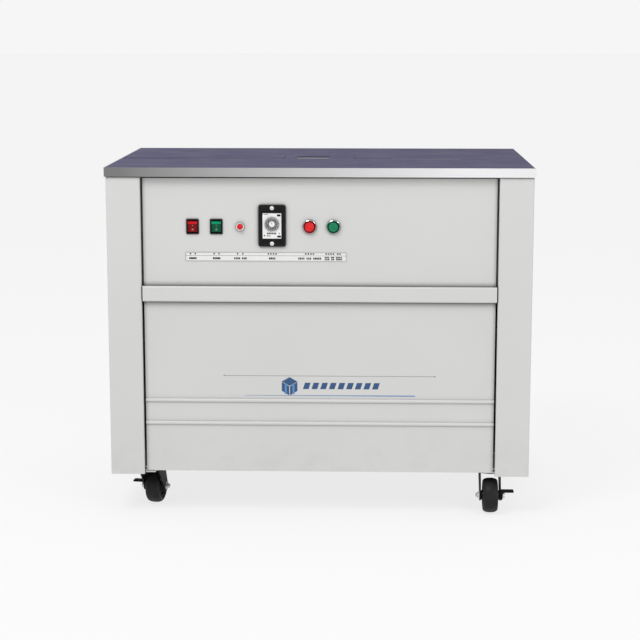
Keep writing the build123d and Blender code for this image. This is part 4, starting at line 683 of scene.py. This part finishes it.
def rocker_frames():
    """The black snap-in frames of both rockers, with their bodies and terminals behind the panel."""
    mesh = bmesh.new()
    tags = bmesh.new()
    for node in ("power_rocker", "motor_rocker"):
        centre = middle(node).x
        level = middle("rocker_bezels").z
        inner = round_rectangle(*ROCKER_OPENING)
        front = facing(centre, PANEL, level)
        add_surround(mesh, round_rectangle(*ROCKER_FRAME), inner, front, 0.0024, 0.0007)
        behind = facing(centre, PANEL + 0.0245, level)
        add_surround(mesh, round_rectangle(*ROCKER_BODY), inner, behind, 0.0245)
        add_plate(mesh, round_rectangle(*ROCKER_BODY), facing(centre, PANEL + 0.0248, level), 0.002)
        for tag in (-1, 0, 1):
            low = (centre - 0.0024, PANEL + 0.0248, level + tag * 0.0085 - 0.0004)
            add_block(tags, low, (centre + 0.0024, PANEL + 0.0345, level + tag * 0.0085 + 0.0004), 0.0003, 1)
    frames = finished("rocker_frames", mesh, PAINTS["black_plastic"], "cabinet")
    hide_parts("rocker_bezels")
    finished("rocker_terminals", tags, PAINTS["bright_steel"], "cabinet")


rocker_frames()

# ---------------------------------------------------------------- push buttons and reset button


def push_cap(node, slot):
    """A dished cap with a faint painted glow, a rolled edge and a stem that runs in the barrel."""
    low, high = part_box(node)
    centre = middle(node)
    length = (high.y - low.y) * 1000
    profile = [(0, 0.5), (5.5, 0.55), (7.0, 0.4), (7.7, 0.0), (8.3, 0.15), (9.2, 0.9), (9.75, 1.9),
               (9.9, 2.9), (9.9, 4.5), (9.7, 4.9), (9.7, length), (0, length)]
    mesh = bmesh.new()
    add_lathe(mesh, scaled(profile), (centre.x, low.y, centre.z), AHEAD, 60)
    cap = finished(f"{node}_cap", mesh, PAINTS[slot], node)
    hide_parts(node)


push_cap("red_push_button", "red_plastic")
push_cap("green_push_button", "green_plastic")


def reset_cap():
    low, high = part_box("reset_button")
    centre = middle("reset_button")
    length = (high.y - low.y) * 1000
    mesh = bmesh.new()
    profile = [(0, 0.0), (3.4, 0.1), (5.0, 0.45), (5.9, 1.1), (6.2, 1.8), (6.1, 2.3), (5.8, 2.5), (4.25, 2.5),
               (4.25, length), (0, length)]
    add_lathe(mesh, scaled(profile), (centre.x, low.y, centre.z), AHEAD, 40)
    # The red plastic of the cap carries a faint painted glow.
    cap = finished("reset_button_cap", mesh, PAINTS["red_plastic"], "reset_button")
    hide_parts("reset_button")


reset_cap()


NUT_CORNER = 0.0095
NUT_TURNED = 0.0088


def button_hardware():
    """Chromed bezels of the two push buttons and the hexagon nut of the reset button."""
    rings = bmesh.new()
    barrels = bmesh.new()
    bezel = [(10.9, -1.3), (11.6, -1.8), (12.9, -3.7), (13.4, -4.0), (13.9, -3.7), (14.2, -2.8),
             (14.2, 0.0), (10.9, 0.0)]
    reset_barrel = [(4.9, 0.02), (6.0, 0.02), (6.0, 14.6), (4.9, 14.6)]
    barrel = [(10.3, -1.2), (10.85, -1.2), (10.85, 0.02), (11.5, 0.02), (11.5, 37.8), (10.3, 38.6)]
    clamp = [(11.6, 1.7), (15.6, 1.7), (16.0, 2.1), (16.0, 6.2), (15.6, 6.6), (11.6, 6.6)]
    level = middle("red_push_button").z
    for node in ("red_push_button", "green_push_button"):
        x = middle(node).x
        add_lathe(rings, scaled(bezel), (x, PANEL, level), AHEAD, 72)
        add_lathe(barrels, scaled(barrel), (x, PANEL, level), AHEAD, 48)
        add_lathe(barrels, scaled(clamp), (x, PANEL, level), AHEAD, 48)
        barrel_end = frame_at((x, PANEL + 0.0386, level), AHEAD)
        add_plate(barrels, circle(0.0114, 48), barrel_end, 0.0013, 0.0004)
    x = middle("reset_button").x
    outward = frame_at((x, PANEL, level), TOWARD) @ Matrix.Rotation(math.radians(12), 4, "Z")
    outer = []
    for k in range(48):
        angle = math.radians(7.5 * k)
        reach = NUT_CORNER * math.cos(math.radians(30)) / math.cos(math.radians((7.5 * k) % 60 - 30))
        outer.append((reach * math.cos(angle), reach * math.sin(angle)))
    turned = []
    for px, py in outer:
        drawn_in = min(1.0, NUT_TURNED / math.hypot(px, py))
        turned.append((px * drawn_in, py * drawn_in))
    bore = circle(0.0049, 48)
    add_loft(rings, [laid(outer, outward, 0), laid(outer, outward, 0.0022), laid(turned, outward, 0.0028),
                     laid(bore, outward, 0.0028), laid(bore, outward, 0)], ring=True)
    add_lathe(barrels, scaled(reset_barrel), (x, PANEL, level), AHEAD, 40)
    chrome = finished("button_bezels", rings, PAINTS["chrome_ring"], "cabinet")
    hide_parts("button_rings")
    finished("button_barrels", barrels, PAINTS["black_plastic"], "cabinet")


button_hardware()

# ---------------------------------------------------------------- timer

TIMER = middle("timer_case")
DIAL = middle("timer_knob")
FRAME_PROUD = 0.004
BODY_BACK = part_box("timer_case")[1].y


def timer_case():
    """Black flush frame with ribbed ends round a raised body that reaches behind the panel."""
    mesh = bmesh.new()
    front = facing(TIMER.x, PANEL, TIMER.z)
    outer = round_rectangle(0.057, 0.0875, 0.005)
    add_plate(mesh, outer, front, FRAME_PROUD, 0.0009)
    add_surround(mesh, round_rectangle(0.0430, 0.0570, 0.0012), round_rectangle(0.0400, 0.0540, 0.0008),
                 front @ Matrix.Translation((0, 0, FRAME_PROUD - 0.0002)), 0.0027, 0.0006)
    add_plate(mesh, round_rectangle(0.0400, 0.0540, 0.0008),
              front @ Matrix.Translation((0, 0, FRAME_PROUD - 0.0003)), 0.0014)
    for end in (-1, 1):
        for rib in range(3):
            level = end * (0.0312 + rib * 0.0030)
            for side in (-1, 1):
                x = side * 0.0152
                low = (TIMER.x + x - 0.0088, PANEL - FRAME_PROUD - 0.0009, TIMER.z + level - 0.0007)
                high = (TIMER.x + x + 0.0088, PANEL - FRAME_PROUD + 0.0002, TIMER.z + level + 0.0007)
                add_block(mesh, low, high, 0.0003, 1)
    add_block(mesh, (TIMER.x - 0.0208, PANEL + 0.0002, TIMER.z - 0.0278),
              (TIMER.x + 0.0208, BODY_BACK - 0.001, TIMER.z + 0.0278), 0.0012)
    case = finished("timer_frame", mesh, PAINTS["black_plastic"], "cabinet")
    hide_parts("timer_case")

    mesh = bmesh.new()
    plate = facing(TIMER.x, PANEL - FRAME_PROUD - 0.0011, TIMER.z)
    spindle = circle(0.0034, 40)
    outline = []
    for k in range(40):
        angle = 2 * math.pi * k / 40
        reach = min(0.0197 / max(abs(math.cos(angle)), 1e-6), 0.0267 / max(abs(math.sin(angle)), 1e-6))
        outline.append((reach * math.cos(angle), reach * math.sin(angle)))
    hole = [(x, y + DIAL.z - TIMER.z) for x, y in spindle]
    add_surround(mesh, outline, hole, plate, 0.0008)
    finished("timer_face", mesh, WHITE_PLASTIC, "cabinet", smooth=False)


FACE_MARKS = [(-0.0165 + 0.0024 * k, 0.0205, 0.0018, 0.0016) for k in range(4)]
FACE_MARKS += [(-0.0090 + 0.0033 * k, -0.0196, 0.0026, 0.0034) for k in range(6)]
FACE_MARKS += [(-0.0160, -0.0240, 0.0026, 0.0030), (-0.0080, -0.0236, 0.0060, 0.0008),
               (-0.0066, -0.0252, 0.0088, 0.0008),
               (0.0150, -0.0196, 0.0016, 0.0034)]


def timer_print():
    """Scale ticks round the dial, two lamps and a few plain bars on the white face."""
    mesh = bmesh.new()
    face = facing(DIAL.x, PANEL - FRAME_PROUD - 0.0019, DIAL.z)
    for step in range(31):
        angle = math.radians(240 - step * 10)
        start, end = 0.0153, 0.0164 if step % 3 else 0.0174
        add_stroke(mesh, (start * math.cos(angle), start * math.sin(angle)),
                   (end * math.cos(angle), end * math.sin(angle)), 0.0005, face, 0.0001)
    for x, y, length, height in FACE_MARKS:
        add_plate(mesh, round_rectangle(length, height, 0.0003), face @ Matrix.Translation((x, y, 0)), 0.0001)
    finished("timer_print", mesh, INK, "cabinet")
    mesh = bmesh.new()
    for x, z in ((TIMER.x + 0.0142, TIMER.z + 0.0222), (TIMER.x + 0.0150, TIMER.z - 0.0222)):
        spot = facing(x, PANEL - FRAME_PROUD - 0.0017, z)
        add_plate(mesh, round_rectangle(0.0076, 0.0040, 0.0014), spot, 0.0009, 0.0004)
    finished("timer_lamps", mesh, PAINTS["black_plastic"], "cabinet")


def timer_screws():
    mesh = bmesh.new()
    slots = bmesh.new()
    head = [(0, 2.1), (1.6, 2.05), (3.0, 1.75), (3.9, 1.15), (4.3, 0.4), (4.3, 0.0), (0, 0.0)]
    for level, turn in ((0.6613, 24), (0.5865, -38)):
        at = (TIMER.x - 0.0001, PANEL - FRAME_PROUD + 0.0001, level)
        add_lathe(mesh, scaled(head), at, TOWARD, 40)
        cross = facing(at[0], at[1] - 0.00175, at[2]) @ Matrix.Rotation(math.radians(turn), 4, "Z")
        for start, end in (((-0.0017, 0), (0.0017, 0)), ((0, -0.0017), (0, 0.0017))):
            add_stroke(slots, start, end, 0.0005, cross, 0.00042)
    finished("timer_screws", mesh, SCREW_PLATING, "cabinet")
    finished("timer_screw_recesses", slots, INK, "cabinet")


DIAL_SECTION = [(6.0, 0.0), (14.6, 0.0), (14.8, 0.2), (14.8, 1.0), (14.3, 1.4), (9.0, 1.65), (6.0, 1.7)]
GRIP_RINGS = ((0.0, 6.6, 0.0), (1.2, 6.6, 0.0), (1.6, 6.4, 0.35), (4.6, 6.1, 0.35), (5.2, 5.6, 0.25),
              (5.4, 5.0, 0.0))


def timer_knob():
    """A dark dial with a printed scale under a fluted white grip and its pointer."""
    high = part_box("timer_knob")[1]
    back = PANEL - 0.0068
    mesh = bmesh.new()
    add_lathe(mesh, scaled(DIAL_SECTION), (DIAL.x, back, DIAL.z), TOWARD, 72)
    finished("timer_dial", mesh, PAINTS["dial_grey"], "timer_knob")
    mesh = bmesh.new()
    flutes = 18
    place = frame_at((DIAL.x, back, DIAL.z), TOWARD)
    loops = []
    for height, radius, depth in GRIP_RINGS:
        loop = []
        for step in range(flutes * 6):
            angle = 2 * math.pi * step / (flutes * 6)
            reach = (radius - depth * (0.5 + 0.5 * math.cos(flutes * angle))) * MM
            loop.append((reach * math.cos(angle), reach * math.sin(angle)))
        loops.append(laid(loop, place, height * MM))
    add_loft(mesh, loops)
    spindle = (high.y - back) * 1000
    add_lathe(mesh, scaled([(0, 0.0), (2.95, 0.0), (2.95, spindle), (0, spindle)]),
              (DIAL.x, back, DIAL.z), AHEAD, 32)
    grip = finished("timer_grip", mesh, WHITE_PLASTIC, "timer_knob")
    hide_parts("timer_knob")
    mesh = bmesh.new()
    face = facing(DIAL.x, back - 0.00155, DIAL.z)
    for step in range(30):
        angle = math.radians(step * 12)
        start = 0.0122 if step % 3 else 0.0112
        add_stroke(mesh, (start * math.cos(angle), start * math.sin(angle)),
                   (0.0140 * math.cos(angle), 0.0140 * math.sin(angle)), 0.0009, face, 0.00018)
    for index in range(10):
        angle = math.radians(90 - index * 36)
        spot = face @ Matrix.Translation((0.0089 * math.cos(angle), 0.0089 * math.sin(angle), 0.0001))
        add_number(mesh, str(index), spot, 0.0024, 0.0004, 0.0001)
    finished("timer_dial_print", mesh, WHITE_PLASTIC, "timer_knob")
    mesh = bmesh.new()
    add_stroke(mesh, (0, 0.0004), (0, 0.0046), 0.0009, facing(DIAL.x, back - 0.0054, DIAL.z), 0.00012)
    finished("timer_pointer", mesh, INK, "timer_knob")


timer_case()
timer_print()
timer_screws()
timer_knob()

# ---------------------------------------------------------------- printed label strip

LABEL_LOW, LABEL_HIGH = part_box("label_plate")
LABEL_FRONT = LABEL_LOW.y
CONTROL_XS = [middle(node).x for node in ("power_rocker", "motor_rocker", "reset_button", "timer_knob",
                                          "red_push_button", "green_push_button")]
UPPER_MARKS = ((-5.0, 5.0), (-5.0, 5.0), (-5.5, 5.5), (-8, -2.7, 2.7, 8), (-8, -2.7, 2.7, 8),
               (-15, -10, -5, 0, 9, 14))
LOWER_SPANS = (16, 15.5, 27, 14, 49, 37)
WORD_GAPS = {27: (4,), 49: (4, 8), 37: (3, 6)}
MARK_PITCH = 3.4
FILM_RISE = 0.00009


def label_print():
    """A grey outline and divider, and plain dots and dashes under each control."""
    mesh = bmesh.new()
    centre_x, centre_z = (LABEL_LOW.x + LABEL_HIGH.x) / 2, (LABEL_LOW.z + LABEL_HIGH.z) / 2
    width, height = LABEL_HIGH.x - LABEL_LOW.x, LABEL_HIGH.z - LABEL_LOW.z
    front = facing(centre_x, LABEL_FRONT + 0.00002, centre_z)
    outer, inner = [rectangle(-width / 2 + edge, width / 2 - edge, -height / 2 + edge, height / 2 - edge)
                    for edge in (0.0006, 0.0014)]
    add_surround(mesh, outer, inner, front, 0.00008)
    add_stroke(mesh, (-width / 2 + 0.001, 0.0024), (width / 2 - 0.001, 0.0024), 0.0008, front, 0.00008)
    finished("label_outline", mesh, GREY_INK, "cabinet")
    mesh = bmesh.new()
    rng = random.Random(11)
    for x, upper, span in zip(CONTROL_XS, UPPER_MARKS, LOWER_SPANS):
        for offset in upper:
            spot = facing(x + offset * MM, LABEL_FRONT, LABEL_LOW.z + 0.0160)
            add_plate(mesh, round_rectangle(0.0030, 0.0030, 0.0004), spot, FILM_RISE)
        rows = (0.0086, 0.0046) if x == CONTROL_XS[-1] else (0.0064,)
        for row in rows:
            count = round(span / MARK_PITCH)
            for k in range(count):
                if k in WORD_GAPS.get(span, ()):
                    continue
                wide = rng.uniform(0.0023, 0.0031)
                spot = facing(x + ((k + 0.5) / count - 0.5) * span * MM, LABEL_FRONT, LABEL_LOW.z + row)
                tall = 0.0043 if len(rows) == 1 else 0.0030
                add_plate(mesh, round_rectangle(wide, tall, 0.0003), spot, FILM_RISE)
    finished("label_marks", mesh, INK, "cabinet")


label_print()

# ---------------------------------------------------------------- door graphics

DOOR_FACE = PANEL
UPPER_STRIPE = 0.3030
LOWER_STRIPE = 0.2605
STRIPE_RISE = 0.00012
PICTURE_RISE = 0.00014


def door_graphics():
    """Two thin stripes and a plain picture of a strapped parcel, with no words."""
    mesh = bmesh.new()
    upper = facing(0, DOOR_FACE, UPPER_STRIPE)
    add_plate(mesh, rectangle(-0.203, 0.245, -0.00035, 0.00035), upper, STRIPE_RISE)
    for x in (-0.203, 0.245):
        add_plate(mesh, circle(0.0014, 20), facing(x, DOOR_FACE, UPPER_STRIPE), PICTURE_RISE)
    finished("door_stripe_upper", mesh, GREY_INK, "door")
    mesh = bmesh.new()
    lower = facing(0, DOOR_FACE, LOWER_STRIPE)
    tapered = [(-0.159, -0.0003), (0.203, -0.0011), (0.203, 0.0011), (-0.159, 0.0003)]
    add_plate(mesh, tapered, lower, STRIPE_RISE)
    finished("door_stripe_lower", mesh, PALE_BLUE_INK, "door")
    mesh = bmesh.new()
    pale = bmesh.new()
    face = facing(-0.0635, DOOR_FACE, 0.2795) @ Matrix.Scale(1.32, 4)
    half, rise = 0.0125, 0.0072
    lid = face @ Matrix.Translation((0, 0.0085, 0))
    add_plate(mesh, [(0, rise), (-half, 0.0), (0, -rise), (half, 0.0)], lid, PICTURE_RISE)
    left = [(-half, 0.0077), (-half, -0.0068), (-0.0007, -0.0140), (-0.0007, 0.0005)]
    right = [(0.0007, 0.0005), (0.0007, -0.0140), (half, -0.0068), (half, 0.0077)]
    add_plate(mesh, left, face, PICTURE_RISE)
    add_plate(mesh, right, face, PICTURE_RISE)
    for side in (-1, 1):
        x = side * half * 0.5
        outline = [(x - 0.0016, 0.0046 + 0.0009 * side), (x - 0.0016, -0.0118), (x + 0.0016, -0.0118),
                   (x + 0.0016, 0.0046 - 0.0009 * side)]
        add_plate(pale, outline, face @ Matrix.Translation((0, 0, 0.00012)), 0.00006)
    finished("door_parcel_picture", mesh, BLUE_INK, "door")
    strap = bmesh.new()
    band = facing(0.0420, DOOR_FACE, 0.2815)
    for k in range(9):
        x = -0.0770 + k * 0.0184
        slanted = [(x, -0.0068), (x + 0.0118, -0.0068), (x + 0.0162, 0.0068), (x + 0.0044, 0.0068)]
        add_plate(strap, slanted, band, PICTURE_RISE)
    finished("door_strap_picture", strap, BLUE_INK, "door")
    finished("door_parcel_bands", pale, PALE_BLUE_INK, "door")


door_graphics()

# ---------------------------------------------------------------- screws on the cabinet

PAN_HEAD = [(0, 2.2), (1.6, 2.1), (3.0, 1.6), (3.8, 0.8), (4.0, 0.2), (4.0, 0.0), (0, 0.0)]
RECESS_LEVEL = 1.8 * MM


def screws(name, places, axis, body):
    """A row of cross-head screws, each turned a little differently."""
    heads = bmesh.new()
    recesses = bmesh.new()
    rng = random.Random(len(places) * 17 + len(name))
    for at in places:
        add_lathe(heads, scaled(PAN_HEAD), at, axis, 28)
        turn = frame_at(at, axis) @ Matrix.Rotation(rng.uniform(0, math.pi), 4, "Z")
        cross = turn @ Matrix.Translation((0, 0, RECESS_LEVEL))
        reach = 0.0018
        for start, end in (((-reach, 0), (reach, 0)), ((0, -reach), (0, reach))):
            add_stroke(recesses, start, end, 0.0006, cross, 0.00036)
    finished(name, heads, PAINTS["bright_steel"], body)
    finished(f"{name}_recesses", recesses, INK, body)


PANEL_BACK = -PANEL
SCREW_INSET = 0.012


def rear_screws():
    low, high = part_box("rear_panel")
    rows = (low.z + SCREW_INSET, high.z - SCREW_INSET)
    places = [(x, PANEL_BACK, z) for x in (-0.36, -0.12, 0.12, 0.36) for z in rows]
    places += [(x, PANEL_BACK, z) for z in (0.26, 0.41, 0.56) for x in (-0.36, 0.36)]
    screws("rear_panel_screws", places, AHEAD, "cabinet")


rear_screws()

# ---------------------------------------------------------------- bolts inside


def bolts(name, node, body, starts, direction, radius):
    """Hexagon bolts with washers, each seated where a line from its start meets the piece."""
    tree = BVHTree.FromObject(frame["nodes"][node], bpy.context.evaluated_depsgraph_get())
    mesh = bmesh.new()
    rng = random.Random(len(name))
    for start in starts:
        place = tree.ray_cast(Vector(start), Vector(direction))[0]
        seat = frame_at(place, -Vector(direction)) @ Matrix.Rotation(rng.uniform(0, math.pi), 4, "Z")
        add_plate(mesh, circle(radius * 1.45, 28), seat, radius * 0.22, radius * 0.06)
        on_washer = seat @ Matrix.Translation((0, 0, radius * 0.22))
        add_hexagon(mesh, radius * 1.15, on_washer, radius * 0.8, radius * 0.16)
        add_plate(mesh, circle(radius * 0.7, 24), seat @ Matrix.Translation((0, 0, radius)), radius * 0.08)
    finished(name, mesh, PAINTS["bright_steel"], body)


def around(centre, radius, count):
    """Places round a circle in an upright plane that faces the operator."""
    x, y, z = centre
    return [(x + px, y, z + pz) for px, pz in circle(radius, count, start=math.radians(30))]


def grid(xs, ys, zs):
    return [(x, y, z) for x in xs for y in ys for z in zs]


REEL = Vector(JOINTS["reel_spin"]["pos_m"])
DOWN = (0, 0, -1)
MOTOR_FEET = grid([0.1405, 0.2595], [-0.03, 0.09], [0.17])
BOX_CORNERS = grid([0.299, 0.421], [-0.2], [0.150, 0.328])
DECK_EDGES = grid([-0.40, -0.20, 0.20, 0.40], [-0.212, 0.212], [0.70])
FLANGE_RING = around((REEL.x, -0.25, REEL.z), 0.060, 6)
bolts("gearbox_bolts", "gearbox", "cabinet", grid([0.25], [-0.058, 0.003], [0.553, 0.622]), (-1, 0, 0), 0.0045)
bolts("motor_foot_bolts", "motor", "cabinet", MOTOR_FEET, DOWN, 0.0048)
bolts("electrical_box_bolts", "electrical_box", "cabinet", BOX_CORNERS, AHEAD, 0.003)
bolts("reel_flange_bolts", "reel_front_flange", "reel", FLANGE_RING, AHEAD, 0.0045)
bolts("deck_bolts", "deck_plate", "cabinet", DECK_EDGES, DOWN, 0.005)

# ---------------------------------------------------------------- floor and light


def floor():
    mesh = bmesh.new()
    rings = [0.0, 1.0, 3.0, 8.0, 20.0, 60.0]
    centre = mesh.verts.new((0, 0, 0))
    last = None
    for radius in rings[1:]:
        ring = [mesh.verts.new((x, y, 0)) for x, y in circle(radius, FLOOR_STEPS)]
        for k in range(FLOOR_STEPS):
            after = (k + 1) % FLOOR_STEPS
            if last is None:
                mesh.faces.new([centre, ring[k], ring[after]])
            else:
                mesh.faces.new([last[k], ring[k], ring[after], last[after]])
        last = ring
    data = bpy.data.meshes.new("studio_floor")
    mesh.to_mesh(data)
    mesh.free()
    surface = Surface("studio_floor", (FLOOR_TONE, FLOOR_TONE, FLOOR_TONE), 0.9, specular=0.0)
    surface.shader.inputs["Emission Color"].default_value = (1, 1, 1, 1)
    surface.shader.inputs["Emission Strength"].default_value = FLOOR_GLOW
    data.materials.append(surface.material)
    piece = bpy.data.objects.new("studio_floor", data)
    bpy.context.scene.collection.objects.link(piece)


def area_light(name, place, target, size, size_y, power, spread=180):
    data = bpy.data.lights.new(name, "AREA")
    data.shape = "RECTANGLE"
    data.size = size
    data.size_y = size_y
    data.energy = power
    data.spread = math.radians(spread)
    light = bpy.data.objects.new(name, data)
    light.location = place
    light.rotation_euler = (Vector(target) - Vector(place)).to_track_quat("-Z", "Y").to_euler()
    bpy.context.scene.collection.objects.link(light)


FLOOR_STEPS = 96
FLOOR_TONE = 0.16
FLOOR_GLOW = 0.76
BACKDROP = 0.922
ROOM = 0.42
ZENITH = 1.0


def studio_world():
    """A white backdrop behind the machine, a dimmer room behind the viewer, light from above."""
    world = bpy.data.worlds.new("studio")
    bpy.context.scene.world = world
    world.use_nodes = True
    nodes, links = world.node_tree.nodes, world.node_tree.links
    parts = nodes.new("ShaderNodeSeparateXYZ")
    links.new(nodes.new("ShaderNodeTexCoord").outputs["Generated"], parts.inputs["Vector"])
    turned = nodes.new("ShaderNodeMapRange")
    raised = nodes.new("ShaderNodeMapRange")
    for node, source, low, high in ((turned, "Y", -0.25, 0.45), (raised, "Z", 0.2, 0.9)):
        links.new(parts.outputs[source], node.inputs["Value"])
        node.inputs["From Min"].default_value = low
        node.inputs["From Max"].default_value = high
    turned.inputs["To Min"].default_value = ROOM
    turned.inputs["To Max"].default_value = BACKDROP
    links.new(turned.outputs["Result"], raised.inputs["To Min"])
    raised.inputs["To Max"].default_value = ZENITH
    links.new(raised.outputs["Result"], nodes["Background"].inputs["Strength"])
    nodes["Background"].inputs["Color"].default_value = (1, 1, 1, 1)


studio_world()
floor()
area_light("key_light", (-1.3, -2.2, 3.6), (0, 0, 0.4), 1.6, 1.2, 62)
area_light("fill_light", (2.2, -2.8, 2.6), (0, 0, 0.4), 1.4, 1.2, 30)
bpy.context.scene.view_settings.view_transform = "Standard"
